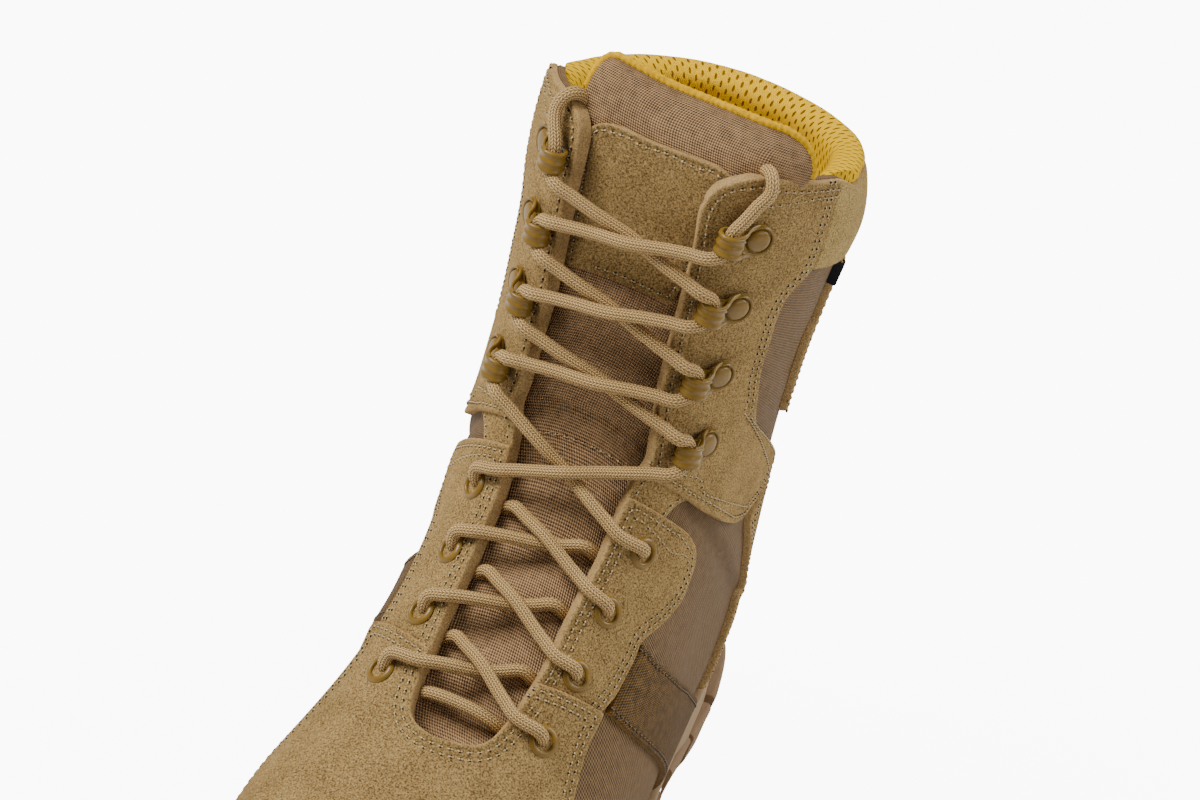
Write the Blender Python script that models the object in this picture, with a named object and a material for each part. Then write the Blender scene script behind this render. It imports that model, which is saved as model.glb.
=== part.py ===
"""Tactical boot for the left foot: sole, hollow upper, tongue, overlays, hooks, eyelets and lace."""
import math

import bmesh
import bpy
import numpy as np
from mathutils import Matrix, Vector

# The boot stands on z = 0, toe toward -Y, outer (lateral) side toward +X.
# Sizes are in millimetres here and become metres where a mesh is made.
METRE = 0.001
CENTRE_X = 3.1
CENTRE_F = 147.8

# Sections of the last from toe tip to collar, one row each, and two rows above it for the tongue.
# A section is a plane that leans from a low point at the back to a high point at the front:
# "f" is the distance forward of the heel, "base" the open edge above the sole, closed where its
# half width is 0, and "square" the exponent that makes the oval fuller at its corners.
SECTION_COLUMNS = ("back_f", "back_z", "front_f", "front_z",
                   "base_mid", "base_half", "top_mid", "half_width", "square")
SECTIONS = np.array([
    (293.0, 37.0, 293.2, 39.0, -8.0, 0.4, -8.0, 0.6, 2.0),
    (290.0, 35.5, 290.8, 51.0, -7.0, 11.0, -7.0, 12.0, 2.2),
    (281.0, 33.0, 283.0, 63.0, -5.0, 22.0, -6.0, 24.0, 2.4),
    (266.0, 30.5, 269.5, 72.7, -3.0, 32.5, -5.4, 34.7, 2.5),
    (245.0, 28.0, 249.0, 80.0, -0.5, 42.0, -4.6, 44.4, 2.5),
    (220.0, 26.5, 225.1, 88.5, 2.0, 48.0, -3.6, 50.6, 2.4),
    (195.0, 26.0, 204.1, 99.8, 3.5, 48.5, -2.1, 51.9, 2.2),
    (170.0, 27.5, 185.2, 114.3, 5.0, 46.5, -0.3, 50.2, 2.1),
    (143.0, 29.5, 168.2, 127.0, 6.5, 43.0, 0.8, 47.7, 2.1),
    (115.0, 32.0, 153.1, 139.5, 6.5, 40.0, 1.3, 45.5, 2.1),
    (87.0, 34.0, 141.5, 149.1, 4.5, 38.0, 1.4, 44.6, 2.2),
    (58.0, 35.5, 134.5, 157.0, 2.0, 36.0, 1.1, 43.8, 2.3),
    (30.0, 36.5, 129.9, 165.1, 0.0, 32.0, 0.4, 43.8, 2.4),
    (10.0, 36.9, 127.0, 172.9, 0.0, 20.0, -0.4, 43.6, 2.4),
    (1.5, 38.0, 124.8, 181.2, 0.0, 0.0, -1.2, 43.3, 2.4),
    (-0.5, 55.0, 122.7, 190.6, 0.0, 0.0, -1.6, 42.3, 2.4),
    (1.5, 88.0, 120.6, 201.1, 0.0, 0.0, -2.0, 41.9, 2.3),
    (6.5, 119.0, 118.9, 212.3, 0.0, 0.0, -1.6, 42.2, 2.2),
    (10.0, 150.0, 117.2, 223.5, 0.0, 0.0, -1.4, 43.0, 2.2),
    (9.0, 180.0, 115.6, 235.5, 0.0, 0.0, -1.2, 44.5, 2.2),
    (6.5, 206.0, 114.3, 247.7, 0.0, 0.0, -1.1, 46.5, 2.2),
    (5.0, 222.0, 112.9, 259.5, 0.0, 0.0, -1.2, 47.2, 2.2),
    (4.0, 235.0, 111.2, 270.0, 0.0, 0.0, -1.2, 46.8, 2.2),
    (6.0, 246.0, 107.0, 281.0, 0.0, 0.0, -0.8, 45.0, 2.2),
    (10.0, 256.0, 101.0, 291.0, 0.0, 0.0, 0.0, 43.0, 2.2),
])
HEEL_ROW = 14.0
COLLAR_ROW = 22.0
THROAT_ROW = 6.66

# Edges of the throat, as fractions of the half section from the front ridge (0) to the sole (1).
THROAT_COLUMNS = ("row", "medial", "lateral")
THROAT = np.array([
    (6.66, 0.0, 0.0),
    (6.72, -0.065, 0.070),
    (6.90, -0.105, 0.135),
    (7.30, -0.125, 0.180),
    (8.00, -0.145, 0.195),
    (9.00, -0.158, 0.206),
    (11.00, -0.150, 0.206),
    (12.80, -0.138, 0.188),
    (14.60, -0.120, 0.157),
    (17.00, -0.138, 0.140),
    (19.20, -0.147, 0.120),
    (20.60, -0.146, 0.108),
    (22.00, -0.145, 0.104),
])

# Side edges of the tongue, in the same fractions: row, medial, lateral.
TONGUE_EDGES = np.array([
    (6.25, -0.10, 0.12),
    (6.70, -0.16, 0.19),
    (7.50, -0.20, 0.25),
    (9.00, -0.23, 0.28),
    (12.00, -0.24, 0.29),
    (15.00, -0.23, 0.30),
    (18.00, -0.22, 0.33),
    (21.00, -0.21, 0.38),
    (22.50, -0.20, 0.395),
    (23.30, -0.18, 0.370),
    (23.80, -0.14, 0.280),
])

# Outer edge of the hook facing on the lateral side, as (row, side) from its lower end to the collar.
FACING_EDGE = ((13.58, 0.325), (13.88, 0.370), (14.30, 0.423), (14.80, 0.470), (15.30, 0.502), (15.80, 0.545),
               (16.15, 0.598), (16.38, 0.612), (16.42, 0.500), (16.57, 0.405), (17.23, 0.380), (17.68, 0.367),
               (18.15, 0.363), (18.70, 0.353), (19.15, 0.352), (19.45, 0.372), (19.80, 0.388), (20.60, 0.385),
               (21.30, 0.383), (21.95, 0.380))

# Thicknesses, and the clearance between pieces that lie on each other.
WALL = 2.4
CLEAR = 0.3
OVERLAY_GAP = 0.75
COUNTER_GAP = 0.95
OVERLAY = 1.6
OVERLAY_TOP = OVERLAY_GAP + OVERLAY
HEM_RISE = 3.6
TONGUE_THICK = 5.5
TONGUE_UNDER = 2.4
TONGUE_DIP = 3.4
TONGUE_DIP_PAST = 0.02
PAD_THICK = 5.5
PAD_GAP = 0.85

# Sole: heights along the foot, from behind the heel to beyond the toe.
SOLE_COLUMNS = ("f", "ground", "plate_bottom", "midsole_bottom")
SOLE = np.array([
    (-8.0, 3.0, 9.0, 17.0),
    (12.0, 0.0, 6.0, 16.0),
    (78.0, 0.0, 6.0, 16.0),
    (88.0, 6.0, 12.0, 18.0),
    (128.0, 6.0, 12.0, 17.0),
    (158.0, 0.0, 6.0, 12.5),
    (240.0, 0.0, 5.0, 11.0),
    (270.0, 4.0, 9.0, 15.0),
    (302.0, 16.0, 21.0, 27.0),
])
HEEL_FEATHER = 36.9
SOLE_ROWS = (0.0, 0.5, 1.2, 2.0, 3.0, 4.0, 5.0, 6.0, 7.0, 8.2, 9.6, 11.0, 12.0, 12.7, 13.2, 13.7, 14.0)
MIDSOLE_PROUD = 4.6
MIDSOLE_LIP = 1.5
OUTSOLE_PROUD = 5.2
LUG_PROUD = 7.4
LUG_DEPTH = 17.0
LUG_LENGTH = 19.0
LUG_GAP = 7.0
INSOLE_INSET = 4.0
INSOLE_THICK = 4.0

# Eyelets and hooks: row on the last, fraction to the medial and to the lateral side.
EYELETS = ((7.30, -0.284, 0.278), (8.30, -0.266, 0.275), (9.46, -0.275, 0.273), (11.12, -0.283, 0.288))
HOOKS = ((15.20, -0.262, 0.290), (16.94, -0.252, 0.273), (18.62, -0.248, 0.249), (20.36, -0.232, 0.231))
EYELET_RADIUS = 4.5
EYELET_BORE = 2.5
EYELET_BARREL = 2.95
EYELET_SIDES = 8
EYELET_SEAT = 0.6
EYELET_LIP = 0.9
HOOK_WIDTH = 8.4
HOOK_REACH = 10.5
HOOK_RIVET = 3.6
HOOK_PLATE = 1.0
LACE_RADIUS = 2.0
LACE_SIDES = 6
LACE_OVER = 0.9
LACE_BAR_REACH = 0.87
LACE_TUCK = -1.6
LACE_RIDE = OVERLAY_TOP + LACE_RADIUS + 0.65
CHANNEL_U = 5.6
CHANNEL_H = OVERLAY_TOP + CLEAR + HOOK_PLATE + LACE_RADIUS + 0.35

# Colours as seen (sRGB), with roughness and metallic value.
FINISHES = {
    "suede": ((174, 147, 103), 0.95, 0.0),
    "nylon": ((128, 106, 80), 0.8, 0.0),
    "tongue_nylon": ((140, 112, 86), 0.8, 0.0),
    "mesh_lining": ((201, 165, 72), 0.9, 0.0),
    "webbing": ((98, 76, 48), 0.85, 0.0),
    "midsole_foam": ((150, 130, 102), 0.7, 0.0),
    "outsole_rubber": ((122, 100, 76), 0.75, 0.0),
    "insole_foam": ((70, 62, 52), 0.95, 0.0),
    "painted_metal": ((132, 104, 62), 0.35, 0.6),
    "lace_cord": ((179, 147, 102), 0.85, 0.0),
    "tag_cloth": ((28, 28, 30), 0.8, 0.0),
}


def clear_scene():
    for item in list(bpy.data.objects):
        bpy.data.objects.remove(item, do_unlink=True)


def linear(channel):
    part = channel / 255.0
    return part / 12.92 if part <= 0.04045 else ((part + 0.055) / 1.055) ** 2.4


def finish(name):
    found = bpy.data.materials.get(name)
    if found:
        return found
    colour, roughness, metallic = FINISHES[name]
    material = bpy.data.materials.new(name)
    material.use_nodes = True
    shader = material.node_tree.nodes["Principled BSDF"]
    shader.inputs["Base Color"].default_value = (*[linear(c) for c in colour], 1.0)
    shader.inputs["Roughness"].default_value = roughness
    shader.inputs["Metallic"].default_value = metallic
    return material


def section_column(name):
    """One column of the section table from heel to toe, where its distances rise."""
    column = SECTIONS[:, SECTION_COLUMNS.index(name)]
    return column[int(HEEL_ROW)::-1]


def section(row):
    """Values of the section columns at a row number, smooth between the table's rows."""
    last = len(SECTIONS) - 1
    row = np.clip(np.asarray(row, float), 0, last)
    first = np.minimum(row.astype(int), last - 1)
    k = (row - first)[..., None]
    padded = np.vstack([2 * SECTIONS[0] - SECTIONS[1], SECTIONS, 2 * SECTIONS[-1] - SECTIONS[-2]])
    a, b, c, d = (padded[first + step] for step in range(4))
    mixed = 2 * b + (c - a) * k + (2 * a - 5 * b + 4 * c - d) * k ** 2 + (3 * b - a - 3 * c + d) * k ** 3
    return np.moveaxis(0.5 * mixed, -1, 0)


def last_point(row, side):
    """Point of the last at a row and a side fraction, -1 medial to 1 lateral, 0 at the ridge."""
    back_f, back_z, front_f, front_z, base_mid, base_half, top_mid, half, square = section(row)
    side = np.asarray(side, float)
    base_half = np.clip(base_half, 0, half * 0.999)
    low = -np.arccos(np.clip(base_half / half, 0, 1) ** (square / 2))
    angle = low + (math.pi / 2 - low) * (1 - np.abs(side))
    across = np.clip(np.cos(angle), 0, 1) ** (2 / square)
    up = np.sign(np.sin(angle)) * np.abs(np.sin(angle)) ** (2 / square)
    foot = -np.abs(np.sin(low)) ** (2 / square)
    rise = (up - foot) / (1 - foot)
    x = base_mid + (top_mid - base_mid) * rise + np.sign(side) * half * across
    f = back_f + (front_f - back_f) * rise
    z = back_z + (front_z - back_z) * rise
    return np.stack([x - CENTRE_X, CENTRE_F - f, z], -1)


def last_normal(row, side, step=0.01):
    row = np.asarray(row, float)
    side = np.asarray(side, float)
    top = len(SECTIONS) - 1
    along = last_point(np.clip(row + step, 0, top), side) - last_point(np.clip(row - step, 0, top), side)
    across = last_point(row, np.clip(side + step, -1, 1)) - last_point(row, np.clip(side - step, -1, 1))
    normal = np.cross(across, along)
    return normal / np.linalg.norm(normal, axis=-1, keepdims=True)


def skin(row, side, lift=0.0):
    return last_point(row, side) + last_normal(row, side) * np.asarray(lift, float)[..., None]


def throat_edge(row, side):
    column = THROAT_COLUMNS.index("medial" if side < 0 else "lateral")
    return np.interp(row, THROAT[:, 0], THROAT[:, column])


def hem(row):
    """Side fraction of a section at the hem's rise above its sole edge."""
    sides = np.linspace(1.0, 0.0, 200)
    heights = last_point(np.full_like(sides, row), sides)[:, 2]
    return float(np.interp(heights[0] + HEM_RISE, heights, sides))


def put_object(name, mesh, material, smooth=35.0):
    mesh.shade_smooth()
    mesh.set_sharp_from_angle(angle=math.radians(smooth))
    if not mesh.materials:
        mesh.materials.append(finish(material))
    item = bpy.data.objects.new(name, mesh)
    bpy.context.scene.collection.objects.link(item)
    return item


def mesh_from(name, points, faces):
    mesh = bpy.data.meshes.new(name)
    mesh.from_pydata([tuple(float(c) * METRE for c in p) for p in points], [], faces)
    mesh.validate()
    return mesh


def turned_out(mesh):
    work = bmesh.new()
    work.from_mesh(mesh)
    bmesh.ops.recalc_face_normals(work, faces=work.faces)
    work.to_mesh(mesh)
    work.free()
    return mesh


def split(loop, places):
    """Triangles of a loop, a four-sided one cut along its shorter diagonal."""
    if len(loop) == 3:
        return [loop]
    a, b, c, d = loop
    if np.linalg.norm(places[a] - places[c]) < np.linalg.norm(places[b] - places[d]):
        return [[a, b, c], [a, c, d]]
    return [[a, b, d], [b, c, d]]


def sheet(name, grids, low, high, material):
    """Closed solid between two lifts of the last, over grids of (row, side) that join where they meet.

    low and high are numbers or functions of row and side."""
    index = {}
    places = []
    quads = []
    for grid in grids:
        rows, columns = grid.shape[:2]
        ids = np.zeros((rows, columns), int)
        base = last_point(grid[..., 0], grid[..., 1])
        for i in range(rows):
            for j in range(columns):
                key = tuple(np.round(base[i, j], 3))
                if key not in index:
                    index[key] = len(places)
                    places.append(grid[i, j])
                ids[i, j] = index[key]
        middle = (rows // 2, columns // 2)
        step_row = base[middle] - base[middle[0] - 1, middle[1]]
        step_side = base[middle] - base[middle[0], middle[1] - 1]
        turned = np.dot(np.cross(step_side, step_row), last_normal(*grid[middle])) < 0
        for i in range(rows - 1):
            for j in range(columns - 1):
                quad = (ids[i, j], ids[i, j + 1], ids[i + 1, j + 1], ids[i + 1, j])
                quads.append(quad[::-1] if turned else quad)
    places = np.array(places)
    base = last_point(places[:, 0], places[:, 1])
    normal = last_normal(places[:, 0], places[:, 1])
    lows = low(places[:, 0], places[:, 1]) if callable(low) else np.full(len(places), low)
    highs = high(places[:, 0], places[:, 1]) if callable(high) else np.full(len(places), high)
    points = np.vstack([base + normal * highs[:, None], base + normal * lows[:, None]])
    count = len(places)
    faces = []
    used = {}
    for quad in quads:
        loop = [v for n, v in enumerate(quad) if v != quad[n - 1]]
        if len(loop) < 3:
            continue
        for triangle in split(loop, base):
            faces.append(triangle)
            faces.append([v + count for v in reversed(triangle)])
        for n, v in enumerate(loop):
            used[(v, loop[(n + 1) % len(loop)])] = True
    for start, end in used:
        if (end, start) not in used:
            faces.append([end, start, start + count, end + count])
    return put_object(name, mesh_from(name, points, faces), material)


def ruled(edge_a, edge_b, columns):
    """Grid of (row, side) between two edges with the same number of points."""
    a = np.array(edge_a, float)[:, None, :]
    b = np.array(edge_b, float)[:, None, :]
    k = np.linspace(0, 1, columns)[None, :, None]
    return a + (b - a) * k


def mirrored(edge):
    return [(row, -side) for row, side in edge]


def cut(target, cutter):
    modifier = target.modifiers.new("holes", "BOOLEAN")
    modifier.operation = "DIFFERENCE"
    modifier.object = cutter


def upper_grids():
    rows = (0.0, 0.4, 1.0, 2.0, 3.0, 4.0, 5.0, 6.0, 6.66, 6.72, 6.9, 7.5, 8.5, 9.6, 10.8, 11.9, 12.8, 13.5,
            14.0, 14.8, 15.6, 16.4, 17.2, 18.0, 18.6, 19.2, 20.0, 21.0, 22.0)
    grids = []
    for side in (-1, 1):
        inner = [(row, throat_edge(row, side)) for row in rows]
        outer = [(row, float(side)) for row in rows]
        grids.append(ruled(inner, outer, 10))
    return grids


def make_upper(holes):
    upper = sheet("upper", upper_grids(), -WALL, 0.0, "nylon")
    cut(upper, holes)


def fastener_frame(row, side, lift=0.0):
    """Matrix at a fastener: x toward the throat, y along the flap's edge, z outward."""
    outward = Vector(last_normal(row, side))
    upward = Vector(last_point(row + 0.3, side) - last_point(row - 0.3, side))
    toward = (upward.cross(outward) * (1.0 if side < 0 else -1.0)).normalized()
    along = outward.cross(toward)
    place = Vector(skin(row, side, lift)) * METRE
    turned = Matrix((toward, along, outward)).transposed().to_4x4()
    return Matrix.Translation(place) @ turned


def eyelet_mesh():
    """Flange and barrel turned round the eyelet's axis, seated on the overlay."""
    seat = OVERLAY_TOP + EYELET_SEAT
    profile = ((EYELET_BORE, -WALL), (EYELET_BORE, seat + 0.4), (EYELET_BORE + 0.8, seat + EYELET_LIP),
               (EYELET_RADIUS, seat), (EYELET_BARREL, seat),
               (EYELET_BARREL, -WALL))
    points = []
    faces = []
    for turn in range(EYELET_SIDES):
        angle = 2 * math.pi * turn / EYELET_SIDES
        points += [(r * math.cos(angle), r * math.sin(angle), h) for r, h in profile]
    count = len(profile)
    for turn in range(EYELET_SIDES):
        here = turn * count
        there = (turn + 1) % EYELET_SIDES * count
        for n in range(count):
            after = (n + 1) % count
            faces.append((here + n, here + after, there + after, there + n))
    return mesh_from("eyelet", points, faces)


def make_eyelets():
    mesh = eyelet_mesh()
    for number, (row, medial, lateral) in enumerate(EYELETS, 1):
        for label, side in (("medial", medial), ("lateral", lateral)):
            item = put_object(f"eyelet_{label}_{number}", mesh, "painted_metal")
            item.matrix_world = fastener_frame(row, side)


def eyelet_holes():
    """One cutter with a pin for each eyelet, wider than the barrel by the clearance."""
    reach = EYELET_BARREL + CLEAR
    points = []
    faces = []
    for row, medial, lateral in EYELETS:
        for side in (medial, lateral):
            frame = fastener_frame(row, side)
            start = len(points)
            for height in (-WALL - 3.0, OVERLAY_TOP + 2.0):
                for turn in range(EYELET_SIDES):
                    angle = 2 * math.pi * turn / EYELET_SIDES
                    local = Vector((reach * math.cos(angle), reach * math.sin(angle), height)) * METRE
                    points.append(tuple((frame @ local) / METRE))
            ring = range(EYELET_SIDES)
            faces.append([start + n for n in reversed(ring)])
            faces.append([start + EYELET_SIDES + n for n in ring])
            for n in ring:
                low = start + n
                after = start + (n + 1) % EYELET_SIDES
                faces.append((low, after, after + EYELET_SIDES, low + EYELET_SIDES))
    cutter = put_object("eyelet_holes", mesh_from("eyelet_holes", points, faces), "painted_metal")
    cutter.hide_render = True
    cutter.display_type = "WIRE"
    return cutter


def hook_mesh():
    """Riveted plate that bends up at the throat side and back over the lace.

    Its side view is a row of stations, each with a point on the outer and the inner face."""
    seat = OVERLAY_TOP + CLEAR
    plate = seat + HOOK_PLATE
    roof = plate + 2 * LACE_RADIUS + 0.8
    bend = HOOK_REACH - HOOK_PLATE
    stations = (
        ((-HOOK_RIVET, seat), (-HOOK_RIVET, plate + 0.9)),
        ((0.4, seat), (0.4, plate + 1.2)),
        ((1.4, seat), (1.4, plate)),
        ((HOOK_REACH - 1.6, seat), (bend - 1.4, plate)),
        ((HOOK_REACH, plate + 0.8), (bend, plate + 1.5)),
        ((HOOK_REACH, roof - 1.0), (bend, roof - 1.5)),
        ((bend - 1.0, roof + 1.1), (bend - 1.4, roof)),
        ((bend - 5.0, roof + 1.3), (bend - 5.0, roof + 0.4)),
    )
    points = []
    for outer, inner in stations:
        for half in (-HOOK_WIDTH / 2, HOOK_WIDTH / 2):
            points += [(outer[0], half, outer[1]), (inner[0], half, inner[1])]
    faces = [(0, 1, 3, 2)]
    for n in range(len(stations) - 1):
        here = 4 * n
        for a, b in ((0, 1), (1, 3), (3, 2), (2, 0)):
            faces.append((here + b, here + a, here + 4 + a, here + 4 + b))
    last = 4 * (len(stations) - 1)
    faces.append((last + 2, last + 3, last + 1, last))
    return turned_out(mesh_from("hook", points, faces))


def make_hooks():
    mesh = hook_mesh()
    for number, (row, medial, lateral) in enumerate(HOOKS, 1):
        for label, side in (("medial", medial), ("lateral", lateral)):
            item = put_object(f"hook_{label}_{number}", mesh, "painted_metal")
            item.matrix_world = fastener_frame(row, side)


def make_vamp(holes):
    """Suede over the toe, split by the throat and carrying the first pair of eyelets."""
    top = {-1: (8.42, -0.455), 1: (8.14, 0.375)}
    flank = {
        -1: ((5.36, -0.91), (5.80, -0.72), (6.20, -0.585), (6.50, -0.535), (6.75, -0.510), (7.20, -0.472),
             (7.80, -0.435)),
        1: ((5.30, 0.91), (5.80, 0.71), (6.20, 0.560), (6.50, 0.500), (6.75, 0.465), (7.15, 0.425),
            (7.70, 0.392)),
    }
    toe_rows = (0.12, 1.0, 2.0, 3.0, 3.9, 4.7)
    throat_rows = (5.4, 6.0, 6.4, 6.66, 6.72, 6.9, 7.3)
    grids = []
    for side in (-1, 1):
        inner = [(row, 0.0) for row in toe_rows]
        inner += [(row, float(throat_edge(row, side))) for row in throat_rows]
        inner.append((7.72, float(throat_edge(7.72, side))))
        outer = [(row, side * hem(row)) for row in toe_rows] + list(flank[side]) + [top[side]]
        grids.append(ruled(inner, outer, 9))
    vamp = sheet("vamp", grids, OVERLAY_GAP, OVERLAY_TOP, "suede")
    cut(vamp, holes)


def make_eyestays(holes):
    inner_rows = (7.82, 8.3, 8.9, 9.4, 10.1, 10.9, 11.6, 12.0, 12.27)
    outer = {
        "lateral": ((8.26, 0.379), (8.60, 0.398), (9.22, 0.400), (9.60, 0.393), (10.28, 0.433),
                    (11.05, 0.463), (11.85, 0.453), (12.32, 0.418), (12.52, 0.365)),
        "medial": ((8.54, -0.470), (8.83, -0.518), (9.30, -0.532), (9.85, -0.530), (10.83, -0.522),
                   (11.48, -0.512), (12.00, -0.480), (12.40, -0.440), (12.54, -0.400)),
    }
    for label, side in (("lateral", 1), ("medial", -1)):
        inner = [(row, float(throat_edge(row, side))) for row in inner_rows]
        stay = sheet(f"eyestay_{label}", [ruled(inner, outer[label], 5)], OVERLAY_GAP, OVERLAY_TOP, "suede")
        cut(stay, holes)


def make_facings():
    inner_rows = (13.25, 13.5, 13.9, 14.4, 14.9, 15.4, 15.8, 16.1, 16.35, 16.6, 17.1, 17.6, 18.1, 18.7, 19.15,
                  19.45, 19.8, 20.6, 21.3, 21.95)
    for label, side in (("lateral", 1), ("medial", -1)):
        inner = [(row, float(throat_edge(row, side))) for row in inner_rows]
        outer = FACING_EDGE if side > 0 else mirrored(FACING_EDGE)
        sheet(f"hook_facing_{label}", [ruled(inner, outer, 7)], OVERLAY_GAP, OVERLAY_TOP, "suede")


def round_the_back(name, edge, back_rows, columns, low, high, material):
    """Sheet from a lateral front edge round the back seam to the same edge on the medial side."""
    back = [(row, 1.0) for row in back_rows]
    grids = [ruled(edge, back, columns), ruled(mirrored(edge), mirrored(back), columns)]
    return sheet(name, grids, low, high, material)


def make_back_pieces():
    cuff_rows = (19.75, 20.3, 20.9, 21.5, 21.95)
    cuff_edge = list(zip(cuff_rows, (0.408, 0.404, 0.402, 0.400, 0.398)))
    round_the_back("collar_cuff", cuff_edge, cuff_rows, 8, OVERLAY_GAP, OVERLAY_TOP + 0.6, "suede")
    stay_rows = (17.15, 17.75, 18.2, 18.4, 18.75, 19.2, 19.62)
    stay_edge = list(zip(stay_rows, (0.560, 0.560, 0.552, 0.525, 0.576, 0.573, 0.570)))
    round_the_back("back_stay", stay_edge, stay_rows, 7, OVERLAY_GAP, OVERLAY_TOP, "suede")
    counter_edge = ((11.45, 0.880), (12.00, 0.795), (13.00, 0.690), (13.80, 0.622), (14.20, 0.604),
                    (14.42, 0.580), (14.60, 0.515),
                    (14.80, 0.502), (15.30, 0.530), (15.80, 0.572), (16.12, 0.622), (16.30, 0.660))
    counter_rows = (11.60, 12.20, 13.00, 13.60, 14.00, 14.34, 14.62, 14.90, 15.25, 15.60, 16.00, 16.30)
    grids = []
    for side in (1, -1):
        edge = counter_edge if side > 0 else mirrored(counter_edge)
        low = [(row, side * (hem(row) if row <= HEEL_ROW else 1.0)) for row in counter_rows]
        grids.append(ruled(edge, low, 6))
    sheet("heel_counter", grids, COUNTER_GAP, OVERLAY_TOP, "suede")


def make_webbing():
    upper_edge = {
        "lateral": [(9.62, 0.418), (9.73, 0.480), (10.23, 0.620), (10.72, 0.760), (10.95, 0.900)],
        "medial": [(9.92, -0.550), (10.06, -0.590), (10.30, -0.660), (10.74, -0.770), (10.95, -0.900)],
    }
    lower_edge = {
        "lateral": [(8.38, 0.420), (8.53, 0.500), (9.00, 0.635), (9.40, 0.742), (9.70, 0.880)],
        "medial": [(8.90, -0.545), (9.00, -0.600), (9.18, -0.680), (9.45, -0.770), (9.70, -0.880)],
    }
    for label, side in (("lateral", 1), ("medial", -1)):
        top = upper_edge[label] + [(11.0, side * hem(11.0))]
        bottom = lower_edge[label] + [(9.85, side * hem(9.85))]
        sheet(f"webbing_{label}", [ruled(top, bottom, 4)], OVERLAY_GAP, OVERLAY_TOP - 0.2, "webbing")


def make_side_tag():
    top = ((19.64, 0.545), (19.64, 0.600))
    bottom = ((19.28, 0.556), (19.28, 0.588))
    lift = OVERLAY_TOP + CLEAR
    sheet("side_tag", [ruled(top, bottom, 3)], lift, lift + 0.9, "tag_cloth")


def tongue_top(row, side):
    """Lift of the tongue's outer face: close under the flaps, lower between them."""
    reach = np.where(side < 0, -throat_edge(row, -1), throat_edge(row, 1)) + TONGUE_DIP_PAST
    between = np.clip(1 - (side / reach) ** 2, 0, 1)
    return -WALL - TONGUE_UNDER - TONGUE_DIP * between


def tongue_edge(row, side):
    return np.interp(row, TONGUE_EDGES[:, 0], TONGUE_EDGES[:, 1 if side < 0 else 2])


def make_tongue():
    rows = (6.25, 6.7, 7.4, 8.5, 9.8, 11.2, 12.6, 14.0, 15.6, 17.2, 18.8, 20.4, 21.8, 22.8, 23.5, 23.8)
    medial = [(row, float(tongue_edge(row, -1))) for row in rows]
    lateral = [(row, float(tongue_edge(row, 1))) for row in rows]

    def thickness(row, side):
        left = tongue_edge(row, -1)
        right = tongue_edge(row, 1)
        place = (2 * side - left - right) / (right - left)
        full = TONGUE_THICK * np.interp(row, (6.25, 9.0, 14.0, 23.0, 23.8), (0.35, 0.6, 1.0, 1.0, 0.45))
        return full * (0.35 + 0.65 * np.sqrt(np.clip(1 - place ** 4, 0, 1)))

    def low(row, side):
        return tongue_top(row, side) - thickness(row, side)

    sheet("tongue", [ruled(medial, lateral, 8)], low, tongue_top, "tongue_nylon")


def make_tongue_patch():
    rows = (18.0, 18.8, 19.7, 20.6, 21.3)
    left = list(zip(rows, (-0.115, -0.118, -0.120, -0.118, -0.100)))
    right = list(zip(rows, (0.105, 0.116, 0.120, 0.122, 0.116)))

    def low(row, side):
        return tongue_top(row, side) + 0.7

    def high(row, side):
        return tongue_top(row, side) + 1.8

    sheet("tongue_patch", [ruled(left, right, 7)], low, high, "suede")


def make_collar_pad():
    """Padded roll round the inside of the collar, from behind the tongue to the medial flap."""
    rows = (19.9, 20.3, 21.0, 21.6, 21.95)
    share = (0.15, 0.7, 1.0, 0.8, 0.3)
    lateral = [(row, 0.47) for row in rows]
    medial = [(row, -0.29) for row in rows]
    back = [(row, 1.0) for row in rows]

    def low(row, side):
        return -WALL - PAD_GAP - PAD_THICK * np.interp(row, rows, share)

    grids = [ruled(lateral, back, 6), ruled(medial, mirrored(back), 8)]
    sheet("collar_pad", grids, low, -WALL - PAD_GAP, "mesh_lining")


def sole_outline():
    """Feather line seen from above: lateral side from toe to heel, then medial side back to the toe."""
    back_f, back_z, _, _, mid, half, _, _, _ = section(np.array(SOLE_ROWS))
    half = np.where(half < 1.0, 0.0, half)
    back_z = np.minimum(back_z, HEEL_FEATHER)
    lateral = np.stack([mid + half - CENTRE_X, CENTRE_F - back_f, back_z], -1)
    medial = np.stack([mid - half - CENTRE_X, CENTRE_F - back_f, back_z], -1)
    return np.vstack([lateral, medial[-2:0:-1]])


def outward(outline):
    after = np.roll(outline, -1, axis=0)[:, :2]
    before = np.roll(outline, 1, axis=0)[:, :2]
    along = after - before
    normal = np.stack([along[:, 1], -along[:, 0]], -1)
    return normal / np.linalg.norm(normal, axis=1, keepdims=True)


def grown(outline, reach, heights):
    plan = outline[:, :2] + outward(outline) * reach
    return np.column_stack([plan, heights])


def sole_height(y, column):
    return np.interp(CENTRE_F - np.asarray(y), SOLE[:, 0], SOLE[:, SOLE_COLUMNS.index(column)])


def ring_solid(name, rings):
    """Closed solid from rings that run from the bottom plate up, round and down to the top plate."""
    count = len(rings[0])
    half = len(SOLE_ROWS)
    points = np.vstack(rings)
    faces = []
    for level in range(len(rings) - 1):
        for n in range(count):
            after = (n + 1) % count
            low = level * count
            faces.append((low + n, low + after, low + count + after, low + count + n))
    top = (len(rings) - 1) * count
    for base in (0, top):
        for n in range(half - 1):
            loop = [base + n, base + n + 1, base + count - n - 1, base + (count - n) % count]
            loop = [v for m, v in enumerate(loop) if v != loop[m - 1]]
            faces.append(loop)
    return turned_out(mesh_from(name, points, faces))


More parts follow.
